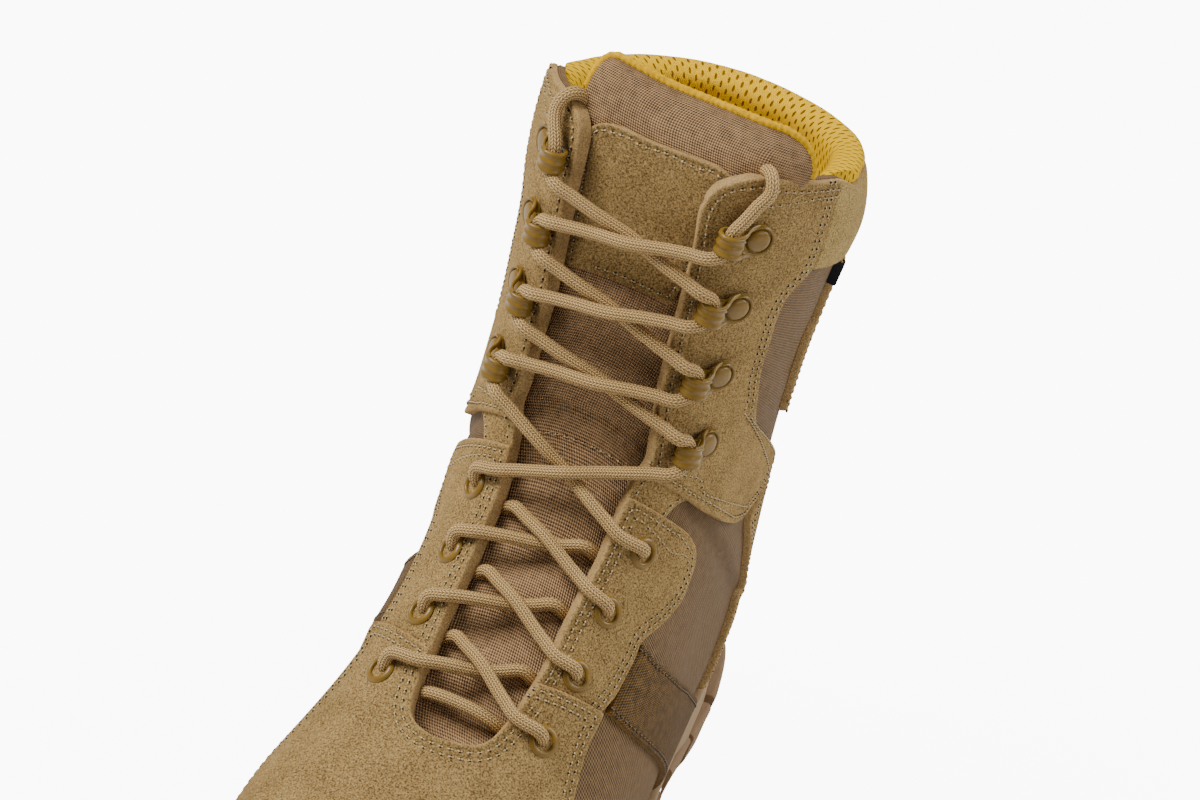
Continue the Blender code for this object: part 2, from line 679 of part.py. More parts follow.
def make_midsole():
    outline = sole_outline()
    feather = outline[:, 2]
    bottom = grown(outline, MIDSOLE_PROUD - 0.4, feather)
    floor = sole_height(bottom[:, 1], "midsole_bottom") + CLEAR / 2
    rings = [
        np.column_stack([bottom[:, :2], floor]),
        grown(outline, MIDSOLE_PROUD + 0.3, (floor + feather) / 2),
        grown(outline, MIDSOLE_PROUD, feather + MIDSOLE_LIP - 0.8),
        grown(outline, MIDSOLE_PROUD - 0.8, feather + MIDSOLE_LIP),
        grown(outline, 1.7, feather + MIDSOLE_LIP),
        grown(outline, 1.4, feather - 2 * CLEAR),
        grown(outline, -1.5, feather - 2 * CLEAR),
    ]
    put_object("midsole", ring_solid("midsole", rings), "midsole_foam")


def make_insole():
    outline = sole_outline()
    feather = outline[:, 2]
    rings = [
        grown(outline, -INSOLE_INSET, feather + CLEAR),
        grown(outline, -INSOLE_INSET, feather + INSOLE_THICK - 0.8),
        grown(outline, -INSOLE_INSET - 1.0, feather + INSOLE_THICK),
    ]
    put_object("insole", ring_solid("insole", rings), "insole_foam")


def block(points, faces, corners):
    """Adds a six-sided block: four bottom corners in order, then the four above them."""
    start = len(points)
    points += [tuple(c) for c in corners]
    for loop in ((3, 2, 1, 0), (4, 5, 6, 7), (0, 1, 5, 4), (1, 2, 6, 5), (2, 3, 7, 6), (3, 0, 4, 7)):
        faces.append([start + n for n in loop])


def lug_blocks():
    """Lugs along the edge that climb the side of the sole, and bars across forefoot and heel."""
    outline = sole_outline()
    outer = grown(outline, LUG_PROUD, outline[:, 2])
    inner = grown(outline, -LUG_DEPTH, outline[:, 2])
    run = np.concatenate([[0], np.cumsum(np.linalg.norm(np.diff(outer[:, :2], axis=0), axis=1))])
    pitch = LUG_LENGTH + LUG_GAP
    count = int(run[-1] // pitch)
    pitch = run[-1] / count
    points = []
    faces = []

    def place(line, distance):
        return np.array([np.interp(distance, run, line[:, 0]), np.interp(distance, run, line[:, 1])])

    for n in range(count):
        start = n * pitch + LUG_GAP / 2
        corners = [place(line, distance) for line, distance in
                   ((outer, start), (outer, start + LUG_LENGTH), (inner, start + LUG_LENGTH), (inner, start))]
        low = [(*c, float(sole_height(c[1], "ground"))) for c in corners]
        high = [(*c, float(sole_height(c[1], "midsole_bottom")) - 2.2) for c in corners]
        block(points, faces, low + high)
    return points, faces


def bar_blocks():
    bars = ((26.0, 10.0, 13.0), (48.0, 10.0, 14.0), (172.0, 12.0, 24.0), (195.0, 12.0, 26.0),
            (218.0, 12.0, 25.0), (241.0, 11.0, 20.0))
    points = []
    faces = []
    for f, length, half in bars:
        mid = float(np.interp(f, section_column("back_f"), section_column("base_mid"))) - CENTRE_X
        corners = ((mid - half, f), (mid + half, f), (mid + half, f + length), (mid - half, f + length))
        low = [(x, CENTRE_F - at, float(sole_height(CENTRE_F - at, "ground"))) for x, at in corners]
        high = [(x, y, float(sole_height(y, "plate_bottom")) + 2.5) for x, y, _ in low]
        block(points, faces, low + high)
    return points, faces


def make_outsole():
    outline = sole_outline()
    edge = grown(outline, MIDSOLE_PROUD - 0.4, outline[:, 2])
    top = sole_height(edge[:, 1], "midsole_bottom") - CLEAR / 2
    bottom = sole_height(edge[:, 1], "plate_bottom")
    rings = [
        grown(outline, OUTSOLE_PROUD - 1.5, bottom),
        grown(outline, OUTSOLE_PROUD, bottom + 1.5),
        grown(outline, OUTSOLE_PROUD, top - 1.0),
        grown(outline, MIDSOLE_PROUD - 0.4, top),
    ]
    plate = put_object("outsole", ring_solid("outsole", rings), "outsole_rubber")
    for name, maker in (("edge_lugs", lug_blocks), ("bars", bar_blocks)):
        lugs = put_object(name, turned_out(mesh_from(name, *maker())), "outsole_rubber")
        lugs.hide_render = True
        lugs.display_type = "WIRE"
        modifier = plate.modifiers.new(name, "BOOLEAN")
        modifier.operation = "UNION"
        modifier.use_self = True
        modifier.object = lugs


def smooth_line(keys, step=11.0):
    """Points on a smooth curve through key points, with each key kept and long stretches divided."""
    keys = np.array(keys, float)
    padded = np.vstack([2 * keys[0] - keys[1], keys, 2 * keys[-1] - keys[-2]])
    line = []
    for n in range(len(keys) - 1):
        a, b, c, d = padded[n:n + 4]
        parts = max(1, round(float(np.linalg.norm(c - b)) / step))
        for k in np.arange(parts) / parts:
            line.append(0.5 * (2 * b + (c - a) * k + (2 * a - 5 * b + 4 * c - d) * k ** 2
                               + (3 * b - a - 3 * c + d) * k ** 3))
    line.append(keys[-1])
    return np.array(line)


def tube_mesh(name, line, radius=LACE_RADIUS):
    """Round tube with flat caps along a line, its rings carried along without twist."""
    along = np.gradient(line, axis=0)
    along /= np.linalg.norm(along, axis=1, keepdims=True)
    across = np.cross(along[0], (0.3, 0.2, 1.0))
    points = []
    faces = []
    for place, way in zip(line, along):
        across = across - way * np.dot(across, way)
        across /= np.linalg.norm(across)
        other = np.cross(way, across)
        for n in range(LACE_SIDES):
            angle = 2 * math.pi * n / LACE_SIDES
            points.append(place + radius * (math.cos(angle) * across + math.sin(angle) * other))
    for level in range(len(line) - 1):
        for n in range(LACE_SIDES):
            after = (n + 1) % LACE_SIDES
            low = level * LACE_SIDES
            high = low + LACE_SIDES
            faces.append((low + n, low + after, high + after, high + n))
    faces.append([n for n in reversed(range(LACE_SIDES))])
    faces.append([(len(line) - 1) * LACE_SIDES + n for n in range(LACE_SIDES)])
    return mesh_from(name, points, faces)


def joined(name, lines):
    """One lace solid made of strands that cross."""
    first = put_object(name, tube_mesh(name, lines[0]), "lace_cord", 70.0)
    for number, line in enumerate(lines[1:], 1):
        label = f"{name}_strand_{number}"
        strand = put_object(label, tube_mesh(label, line), "lace_cord")
        strand.hide_render = True
        strand.display_type = "WIRE"
        modifier = first.modifiers.new("joined", "BOOLEAN")
        modifier.operation = "UNION"
        modifier.object = strand
    return first


def in_frame(frame, u, w, h):
    return np.array((frame @ (Vector((u, w, h)) * METRE)) / METRE)


def upward_sign(frame):
    return 1.0 if frame.to_3x3().col[1].z > 0 else -1.0


def edge_row(frame, side, rise):
    """Row where the throat's edge lies a given rise above a fastener, measured along the flap."""
    rows = np.linspace(THROAT_ROW, COLLAR_ROW, 300)
    points = last_point(rows, throat_edge(rows, side))
    back = frame.inverted()
    heights = np.array([(back @ (Vector(p) * METRE)).y / METRE for p in points]) * upward_sign(frame)
    return float(rows[np.argmin(np.abs(heights - rise))])


def over_edge(frame, side, rise, lift):
    row = edge_row(frame, side, rise)
    return skin(row, throat_edge(row, side), lift)


def eyelet_frame(number, side):
    row, medial, lateral = EYELETS[number - 1]
    return fastener_frame(row, medial if side < 0 else lateral)


def hook_frame(number, side):
    row, medial, lateral = HOOKS[number - 1]
    return fastener_frame(row, medial if side < 0 else lateral)


def from_eyelet(number, side):
    """Key points of a strand that lies on its eyelet and runs over the flap's edge."""
    frame = eyelet_frame(number, side)
    rest = OVERLAY_TOP + EYELET_SEAT + EYELET_LIP + LACE_RADIUS + 0.4
    return [in_frame(frame, -0.5, 0.0, rest), in_frame(frame, 4.0, 0.5 * upward_sign(frame), rest - 0.2),
            over_edge(frame, side, 1.0, LACE_RIDE)]


def to_flap(number, side):
    """Key points of a strand's far end, short of the flap's edge below the next eyelet."""
    frame = eyelet_frame(number + 1, side)
    row = edge_row(frame, side, -3.5)
    edge = float(throat_edge(row, side))
    return [skin(row - 0.1, edge * 0.3, -0.6), skin(row, edge * 0.80, -0.2)]


def at_hook(number, side, above, lift=0.0):
    """Key points from a hook's channel to its flap's edge, above or below the hook, lifted at the edge."""
    frame = hook_frame(number, side)
    up = 1.0 if above else -1.0
    way = up * upward_sign(frame)
    return [in_frame(frame, CHANNEL_U, 0.7 * way, CHANNEL_H),
            in_frame(frame, CHANNEL_U, 4.6 * way, CHANNEL_H),
            in_frame(frame, CHANNEL_U + 3.0, 7.2 * way, CHANNEL_H - 0.3),
            over_edge(frame, side, 8.5 * up, LACE_RIDE + lift)]


def lace_end(side):
    """Key points of an end that leaves the top hook, goes over the collar's edge and tucks in behind it."""
    _, medial, lateral = HOOKS[-1]
    place = medial if side < 0 else lateral
    start = at_hook(len(HOOKS), side, True)[:2]
    over = [skin(21.35, place * 0.97, LACE_RIDE + 0.4), skin(21.9, place, LACE_RIDE + 0.6)]
    tuck = [skin(COLLAR_ROW + 0.45, place, 2.2), skin(COLLAR_ROW + 0.5, place, LACE_TUCK)]
    return start + over + tuck


def make_laces():
    low_row = 7.05
    ends = [skin(low_row, float(throat_edge(low_row, side)) * LACE_BAR_REACH, -0.2) for side in (-1, 1)]
    bar = [ends[0], skin(low_row, 0.0, -LACE_RADIUS), ends[1]]
    put_object("lace_bar", tube_mesh("lace_bar", smooth_line(bar)), "lace_cord", 70.0)
    for number in (1, 2, 3):
        lines = [smooth_line(from_eyelet(number, side) + to_flap(number, -side)) for side in (1, -1)]
        joined(f"lace_crossing_{number}", lines)
    lines = [smooth_line(from_eyelet(4, side) + at_hook(1, -side, False)[::-1]) for side in (1, -1)]
    joined("lace_crossing_4", lines)
    for number in (1, 2, 3):
        lines = []
        for side, lift in ((1, 0.0), (-1, LACE_OVER)):
            start = at_hook(number, side, True, lift)
            end = at_hook(number + 1, -side, False, lift)[::-1]
            lines.append(smooth_line(start + end))
        joined(f"lace_crossing_{number + 4}", lines)
    for label, side in (("medial", -1), ("lateral", 1)):
        line = smooth_line(lace_end(side))
        name = f"lace_end_{label}"
        put_object(name, tube_mesh(name, line), "lace_cord", 70.0)



clear_scene()
holes = eyelet_holes()
make_outsole()
make_midsole()
make_insole()
make_upper(holes)
make_tongue()
make_collar_pad()
make_vamp(holes)
make_eyestays(holes)
make_facings()
make_back_pieces()
make_webbing()
make_side_tag()
make_tongue_patch()
make_eyelets()
make_hooks()
make_laces()
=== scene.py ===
import math

import bmesh
import bpy
import numpy as np
from mathutils import Matrix, Vector
from mathutils.kdtree import KDTree


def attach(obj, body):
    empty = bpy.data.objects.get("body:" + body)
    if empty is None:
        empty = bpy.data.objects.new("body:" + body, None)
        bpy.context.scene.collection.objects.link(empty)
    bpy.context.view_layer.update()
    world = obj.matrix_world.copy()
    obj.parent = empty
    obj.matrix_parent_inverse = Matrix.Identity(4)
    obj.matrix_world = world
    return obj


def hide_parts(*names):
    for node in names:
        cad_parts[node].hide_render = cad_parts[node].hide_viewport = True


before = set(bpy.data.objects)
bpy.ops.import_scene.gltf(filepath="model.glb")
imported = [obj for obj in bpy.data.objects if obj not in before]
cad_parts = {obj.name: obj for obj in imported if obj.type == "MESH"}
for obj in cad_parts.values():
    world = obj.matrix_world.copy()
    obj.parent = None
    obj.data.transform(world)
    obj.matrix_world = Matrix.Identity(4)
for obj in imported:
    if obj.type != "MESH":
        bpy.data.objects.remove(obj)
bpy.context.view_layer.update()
mm = 0.001
body = "root"
bothSides = (("lateral", 1), ("medial", -1))


# Camera at the photo's angle, rolled as the photo is.
camera = {
    "azimuth": 13.68,
    "elevation": 36.033,
    "roll": 14.678,
    "distance": 1511.6,
    "target": (0.0, 27.8, 187.0),
    "lens": 155.95,
}


def makeCamera(look):
    az, el, roll = (math.radians(look[key]) for key in ("azimuth", "elevation", "roll"))
    back = Vector((math.sin(az) * math.cos(el), -math.cos(az) * math.cos(el), math.sin(el)))
    right = Vector((math.cos(az), math.sin(az), 0.0))
    up = back.cross(right)
    rolledRight = math.cos(roll) * right + math.sin(roll) * up
    rolledUp = -math.sin(roll) * right + math.cos(roll) * up
    data = bpy.data.cameras.new("photoCamera")
    data.lens = look["lens"]
    item = putPiece("photoCamera", data)
    turned = Matrix((rolledRight, rolledUp, back)).transposed().to_4x4()
    place = (Vector(look["target"]) + back * look["distance"]) * mm
    item.matrix_world = Matrix.Translation(place) @ turned
    bpy.context.scene.camera = item


studio = {
    "sky": 0.22,
    "key": {"size": 0.8, "power": 48.0, "place": (-1.05, -0.3, 1.55)},
    "fill": {"size": 0.9, "power": 6.5, "place": (1.3, -0.4, 1.0)},
    "rim": {"size": 0.8, "power": 17.0, "place": (1.1, 0.9, 1.0)},
    "aim": (0.0, 0.0, 0.15),
    "floor": 0.88,
    "floorReach": 6.0,
    "glow": 9.0,
}


def makeStudio(look):
    world = bpy.data.worlds.new("studio")
    world.use_nodes = True
    sky = world.node_tree.nodes["Background"]
    sky.inputs["Color"].default_value = (1.0, 1.0, 1.0, 1.0)
    sky.inputs["Strength"].default_value = look["sky"]
    bpy.context.scene.world = world
    for name in ("key", "fill", "rim"):
        lamp = look[name]
        data = bpy.data.lights.new(name, "AREA")
        data.size = lamp["size"]
        data.energy = lamp["power"]
        item = putPiece(name, data)
        place = Vector(lamp["place"])
        turned = (Vector(look["aim"]) - place).to_track_quat("-Z", "Y")
        item.matrix_world = Matrix.Translation(place) @ turned.to_matrix().to_4x4()
    paint, shader, tree = newMaterial("floorPaint", 0.8)
    shader.inputs["Base Color"].default_value = (look["floor"], look["floor"], look["floor"], 1.0)
    shader.inputs["Emission Color"].default_value = (1.0, 1.0, 1.0, 1.0)
    seen = tree.nodes.new("ShaderNodeLightPath").outputs["Is Camera Ray"]
    tree.links.new(mathNode(tree, "MULTIPLY", seen, look["glow"]), shader.inputs["Emission Strength"])
    reach = look["floorReach"]
    corners = [(-reach, -reach, 0), (reach, -reach, 0), (reach, reach, 0), (-reach, reach, 0)]
    floor = putPiece("floor", meshOf("floor", corners, [(0, 1, 2, 3)], paint))


# The last: rows from toe tip to collar, then the rows that carry the tongue's top.
last = {
    "centreX": 3.1,
    "centreF": 147.8,
    "heelRow": 14.0,
    "collarRow": 22.2,
    "wall": 2.4,
    "overlayTop": 2.35,
    "rowStep": 18.0,
    "sideStep": 110.0,
}
# columns: back f, back z, front f, front z, base middle, base half, top middle, half width, squareness,
# where f is the distance forward of the heel
lastRows = np.array([
    (293.0, 37.0, 293.2, 39.0, -8.0, 0.4, -8.0, 0.6, 2.0),
    (290.0, 35.5, 290.8, 51.0, -7.0, 11.0, -7.0, 12.0, 2.2),
    (281.0, 33.0, 283.0, 63.0, -5.0, 22.0, -6.0, 24.0, 2.4),
    (266.0, 30.5, 269.5, 72.7, -3.0, 32.5, -5.4, 34.7, 2.5),
    (245.0, 28.0, 249.0, 80.0, -0.5, 42.0, -4.6, 44.4, 2.5),
    (220.0, 26.5, 225.1, 88.5, 2.0, 48.0, -3.6, 50.6, 2.4),
    (195.0, 26.0, 204.1, 99.8, 3.5, 48.5, -2.1, 51.9, 2.2),
    (170.0, 27.5, 185.2, 114.3, 5.0, 46.5, -0.3, 50.2, 2.1),
    (143.0, 29.5, 168.2, 127.0, 6.5, 43.0, 0.8, 47.7, 2.1),
    (115.0, 32.0, 153.1, 139.5, 5.9, 39.4, 1.3, 45.5, 2.1),
    (87.0, 34.0, 141.5, 149.1, 3.8, 37.3, 1.4, 44.6, 2.2),
    (58.0, 35.5, 134.5, 157.0, 2.0, 36.0, 1.1, 43.8, 2.3),
    (30.0, 36.5, 129.9, 165.1, 0.0, 34.5, 0.4, 43.8, 2.4),
    (10.0, 36.9, 127.0, 172.9, 0.0, 25.0, -0.4, 43.6, 2.4),
    (1.5, 38.0, 124.8, 181.2, 0.0, 0.0, -1.2, 43.3, 2.4),
    (-0.5, 55.0, 122.7, 190.6, 0.0, 0.0, -1.6, 42.3, 2.4),
    (1.5, 88.0, 120.6, 201.1, 0.0, 0.0, -2.0, 41.9, 2.3),
    (6.5, 119.0, 118.9, 212.3, 0.0, 0.0, -1.6, 42.2, 2.2),
    (10.0, 150.0, 117.2, 223.5, 0.0, 0.0, -1.4, 43.0, 2.2),
    (9.0, 180.0, 115.6, 235.5, 0.0, 0.0, -1.2, 44.5, 2.2),
    (6.5, 206.0, 114.3, 247.7, 0.0, 0.0, -1.1, 46.5, 2.2),
    (5.0, 222.0, 112.9, 259.5, 0.0, 0.0, -1.2, 47.2, 2.2),
    (4.0, 235.0, 111.2, 270.0, 0.0, 0.0, -1.2, 46.8, 2.2),
    (6.0, 246.0, 107.0, 281.0, 0.0, 0.0, -0.8, 45.0, 2.2),
    (10.0, 256.0, 101.0, 291.0, 0.0, 0.0, 0.0, 43.0, 2.2),
])
# columns: row, medial edge, lateral edge of the throat
throatRows = np.array([
    (6.52, 0.0, 0.0),
    (6.56, -0.045, 0.058),
    (6.66, -0.080, 0.110),
    (6.85, -0.104, 0.141),
    (7.20, -0.120, 0.160),
    (7.60, -0.133, 0.170),
    (8.00, -0.145, 0.176),
    (9.00, -0.158, 0.175),
    (11.00, -0.150, 0.168),
    (12.80, -0.138, 0.162),
    (14.60, -0.120, 0.151),
    (17.00, -0.138, 0.140),
    (19.20, -0.147, 0.120),
    (20.75, -0.146, 0.101),
    (21.30, -0.150, 0.110),
    (21.65, -0.160, 0.125),
    (21.90, -0.176, 0.152),
    (22.08, -0.200, 0.182),
    (22.20, -0.250, 0.225),
])
# Soft troughs and ridges: row and side where each starts and ends, its width and depth.
creases = (
    (13.35, 0.30, 12.85, 0.64, 6.0, -1.1),
    (14.15, 0.44, 13.55, 0.74, 6.5, 0.7),
    (13.35, -0.30, 12.85, -0.64, 6.0, -1.1),
    (14.15, -0.44, 13.55, -0.74, 6.5, 0.7),
    (17.55, 0.72, 17.45, 1.00, 8.0, -0.8),
    (17.55, -0.72, 17.45, -1.00, 8.0, -0.8),
    (18.50, 0.42, 17.50, 0.54, 4.0, -0.6),
    (17.10, 0.43, 17.65, 0.56, 4.0, 0.5),
    (18.40, -0.40, 17.50, -0.54, 4.0, -0.6),
    (5.45, -0.62, 5.25, 0.60, 8.0, -0.6),
    (5.95, -0.50, 5.85, 0.48, 8.0, 0.4),
    (10.20, 0.72, 11.80, 0.66, 7.0, -0.7),
    (10.20, -0.72, 11.80, -0.66, 7.0, -0.7),
)


# The collar dips behind the flaps and leans in at its top: drops in rows, lean in millimetres, spans by side.
collarShape = {
    "lateral": 0.20,
    "medial": 0.45,
    "back": 0.05,
    "backSpan": (0.6, 1.0),
    "wallDrop": 0.22,
    "dropSpan": (0.39, 0.50),
    "trimRows": (20.0, 2.2),
    "lean": 3.4,
    "leanSpan": (0.42, 0.56),
    "leanRows": (20.2, 22.4),
}


def smoothStep(low, high, value):
    k = np.clip((value - low) / (high - low), 0, 1)
    return k * k * (3 - 2 * k)


def unit(vectors):
    return vectors / np.linalg.norm(vectors, axis=-1, keepdims=True)


def runAlong(points):
    return np.concatenate([[0], np.cumsum(np.linalg.norm(np.diff(points, axis=0), axis=1))])


def readAt(places, run, line):
    return np.stack([np.interp(places, run, line[:, n]) for n in range(line.shape[1])], -1)


def smoothed(line, rounds):
    for _ in range(rounds):
        line[1:-1] = 0.5 * line[1:-1] + 0.25 * (line[2:] + line[:-2])
    return line


def collarDip(side):
    dip = np.where(side > 0, collarShape["lateral"], collarShape["medial"])
    return dip + (collarShape["back"] - dip) * smoothStep(*collarShape["backSpan"], np.abs(side))


def collarDrop(side):
    full = collarDip(side) + collarShape["wallDrop"]
    return full * smoothStep(*collarShape["dropSpan"], np.abs(side))


def collarTrim(grid):
    trimmed = np.array(grid)
    start, rows = collarShape["trimRows"]
    trimmed[..., 0] -= collarDrop(grid[..., 1]) * np.clip((grid[..., 0] - start) / rows, 0, 1)
    return trimmed


def collarLean(row, side):
    across = smoothStep(*collarShape["leanSpan"], np.abs(side))
    return -collarShape["lean"] * across * smoothStep(*collarShape["leanRows"], row)


def catmull(table, at):
    at = np.clip(np.asarray(at, float), 0, len(table) - 1)
    first = np.minimum(at.astype(int), len(table) - 2)
    k = (at - first)[..., None]
    padded = np.vstack([2 * table[0] - table[1], table, 2 * table[-1] - table[-2]])
    a, b, c, d = (padded[first + step] for step in range(4))
    bent = (2 * a - 5 * b + 4 * c - d) * k ** 2
    return 0.5 * (2 * b + (c - a) * k + bent + (3 * b - a - 3 * c + d) * k ** 3)


def lastPoint(row, side):
    values = np.moveaxis(catmull(lastRows, row), -1, 0)
    backF, backZ, frontF, frontZ, baseMid, baseHalf, topMid, half, square = values
    side = np.asarray(side, float)
    baseHalf = np.clip(baseHalf, 0, half * 0.999)
    low = -np.arccos(np.clip(baseHalf / half, 0, 1) ** (square / 2))
    angle = low + (math.pi / 2 - low) * (1 - np.abs(side))
    across = np.clip(np.cos(angle), 0, 1) ** (2 / square)
    up = np.sign(np.sin(angle)) * np.abs(np.sin(angle)) ** (2 / square)
    foot = -np.abs(np.sin(low)) ** (2 / square)
    rise = (up - foot) / (1 - foot)
    x = baseMid + (topMid - baseMid) * rise + np.sign(side) * half * across
    f = backF + (frontF - backF) * rise
    z = backZ + (frontZ - backZ) * rise
    return np.stack([x - last["centreX"], last["centreF"] - f, z], -1)


def lastNormal(row, side, step=0.01):
    row = np.asarray(row, float)
    side = np.asarray(side, float)
    top = len(lastRows) - 1
    along = lastPoint(np.clip(row + step, 0, top), side) - lastPoint(np.clip(row - step, 0, top), side)
    across = lastPoint(row, np.clip(side + step, -1, 1)) - lastPoint(row, np.clip(side - step, -1, 1))
    return unit(np.cross(across, along))


def relief(row, side):
    scale = np.array([last["rowStep"], last["sideStep"]])
    here = np.stack([np.asarray(row, float), np.asarray(side, float)], -1) * scale
    total = np.zeros(here.shape[:-1])
    for startRow, startSide, endRow, endSide, width, depth in creases:
        start = np.array([startRow, startSide]) * scale
        run = np.array([endRow, endSide]) * scale - start
        k = np.clip(((here - start) @ run) / (run @ run), 0, 1)
        away = np.linalg.norm(here - start - k[..., None] * run, axis=-1)
        total += depth * np.exp(-(away / width) ** 2) * (0.4 + 0.6 * np.sin(math.pi * k))
    return total + collarLean(row, side)


def skinSpot(row, side, lift):
    lift = np.asarray(lift, float) + relief(row, side)
    return lastPoint(row, side) + lastNormal(row, side) * lift[..., None]


def smoothThroat():
    # The throat's bottom is a round U, so the curve starts level.
    start = throatRows[1] * np.array([1.0, -1.0, -1.0])
    table = np.vstack([start, throatRows])
    fine = catmull(table, np.linspace(1, len(table) - 1, 900))
    fine[:, 0] = np.maximum.accumulate(fine[:, 0])
    return fine


throatCurve = smoothThroat()


def throatEdge(row, side):
    return np.interp(row, throatCurve[:, 0], throatCurve[:, 1 if side < 0 else 2])


def throatReach(row, side):
    return np.where(side < 0, -throatEdge(row, -1), throatEdge(row, 1))


def hem(row, rise):
    sides = np.linspace(1.0, 0.0, 200)
    heights = lastPoint(np.full_like(sides, row), sides)[:, 2]
    return float(np.interp(heights[0] + rise, heights, sides))


# Grids of (row, side) between two edges, close together near the rim so that rim and seams have a shape.
plainSteps = np.array([0.0, 0.15, 0.4, 0.8, 1.3])
seamSteps = np.array([0.0, 0.15, 0.4, 0.8, 1.3, 1.8, 2.2, 2.6, 3.3, 4.0, 4.4, 4.8, 5.6])


def edgeRun(points):
    scale = np.array([last["rowStep"], last["sideStep"]])
    return runAlong(points * scale)


def smoothEdge(points, run, fractions):
    count = np.arange(len(points))
    place = np.interp(np.asarray(fractions) * run[-1], run, count)
    return 0.75 * catmull(points, place) + 0.25 * readAt(place, count, points)


def packed(count, length, steps):
    near = np.minimum(steps / length, np.linspace(0, 0.42, len(steps)))
    middle = np.linspace(near[-1], 1 - near[-1], count)
    return np.concatenate([near[:-1], middle, 1 - near[-2::-1]])


def lengthOf(line):
    return float(np.linalg.norm(np.diff(line, axis=0), axis=1).sum())


def fineGrid(edgeA, edgeB, step=1.7, steps=seamSteps):
    edgeA, edgeB = np.array(edgeA, float), np.array(edgeB, float)
    runA, runB = edgeRun(edgeA), edgeRun(edgeB)
    if len(edgeA) == len(edgeB):
        runA = runB = (runA + runB) / 2
    probe = np.linspace(0, 1, 60)
    edges = ((edgeA, runA), (edgeB, runB))
    longest = max(lengthOf(lastPoint(*smoothEdge(edge, run, probe).T)) for edge, run in edges)
    spare = 2 * steps[-1]
    fractions = packed(max(4, round((longest - spare) / step)), longest, steps)
    a = smoothEdge(edgeA, runA, fractions)
    b = smoothEdge(edgeB, runB, fractions)
    across = a[:, None] + (b - a)[:, None] * np.linspace(0, 1, 24)[None, :, None]
    widths = np.linalg.norm(np.diff(lastPoint(across[..., 0], across[..., 1]), axis=1), axis=-1).sum(1)
    count = max(4, round((float(widths.max()) - spare) / step))
    k = np.stack([packed(count, max(width, 3.0), steps) for width in widths])
    return a[:, None] + (b - a)[:, None] * k[..., None]


def mirrored(edge):
    return [(row, -side) for row, side in edge]


def clothUv(grid):
    base = lastPoint(grid[..., 0], grid[..., 1])
    across = np.linalg.norm(np.diff(base, axis=1), axis=-1)
    along = np.linalg.norm(np.diff(base, axis=0), axis=-1).mean(1)
    start = np.abs(grid[:, :1, 1]) * last["sideStep"]
    u = np.concatenate([start, start + np.cumsum(across, axis=1)], axis=1)
    v = np.concatenate([[0], np.cumsum(along)]) + grid[0, 0, 0] * last["rowStep"]
    return np.stack([u * np.sign(grid[..., -1:, 1] + 1e-9), np.repeat(v[:, None], grid.shape[1], 1)], -1)


def wallFaces(levels, around, start=0):
    faces = []
    for level in range(levels - 1):
        low = start + level * around
        for n in range(around):
            after = (n + 1) % around
            faces.append((low + n, low + after, low + around + after, low + around + n))
    return faces


def tubeFaces(levels, around, start=0):
    top = start + (levels - 1) * around
    ends = [list(range(start, start + around))[::-1], list(range(top, top + around))]
    return wallFaces(levels, around, start) + ends


def wallMarks(levels, around):
    # Map corners in the order of wallFaces: first the mark around, then the mark along.
    marks = []
    for low, high in zip(levels, levels[1:]):
        for left, right in zip(around, around[1:]):
            marks += [(left, low), (right, low), (right, high), (left, high)]
    return marks


def meshOf(name, points, faces, material, marks=None):
    mesh = bpy.data.meshes.new(name)
    mesh.from_pydata(points, [], faces)
    if marks is not None:
        layer = mesh.uv_layers.new(name="cloth")
        layer.data.foreach_set("uv", np.asarray(marks, np.float32).ravel())
    mesh.materials.append(material)
    return mesh


def putPiece(name, data):
    item = bpy.data.objects.new(name, data)
    bpy.context.scene.collection.objects.link(item)
    return item


def shaded(name, mesh, crease):
    mesh.shade_smooth()
    mesh.set_sharp_from_angle(angle=math.radians(crease))
    return putPiece(name, mesh)


def facedOut(name, mesh, crease):
    work = bmesh.new()
    work.from_mesh(mesh)
    bmesh.ops.recalc_face_normals(work, faces=work.faces)
    work.to_mesh(mesh)
    work.free()
    return shaded(name, mesh, crease)


def dress(item, slot, *nodes):
    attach(item, body)
    if nodes:
        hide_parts(*nodes)
    return item


groove = {"deep": 0.32, "wide": 0.6}


def valueOf(lift, row, side):
    return lift(row, side) if callable(lift) else np.full(len(row), float(lift))


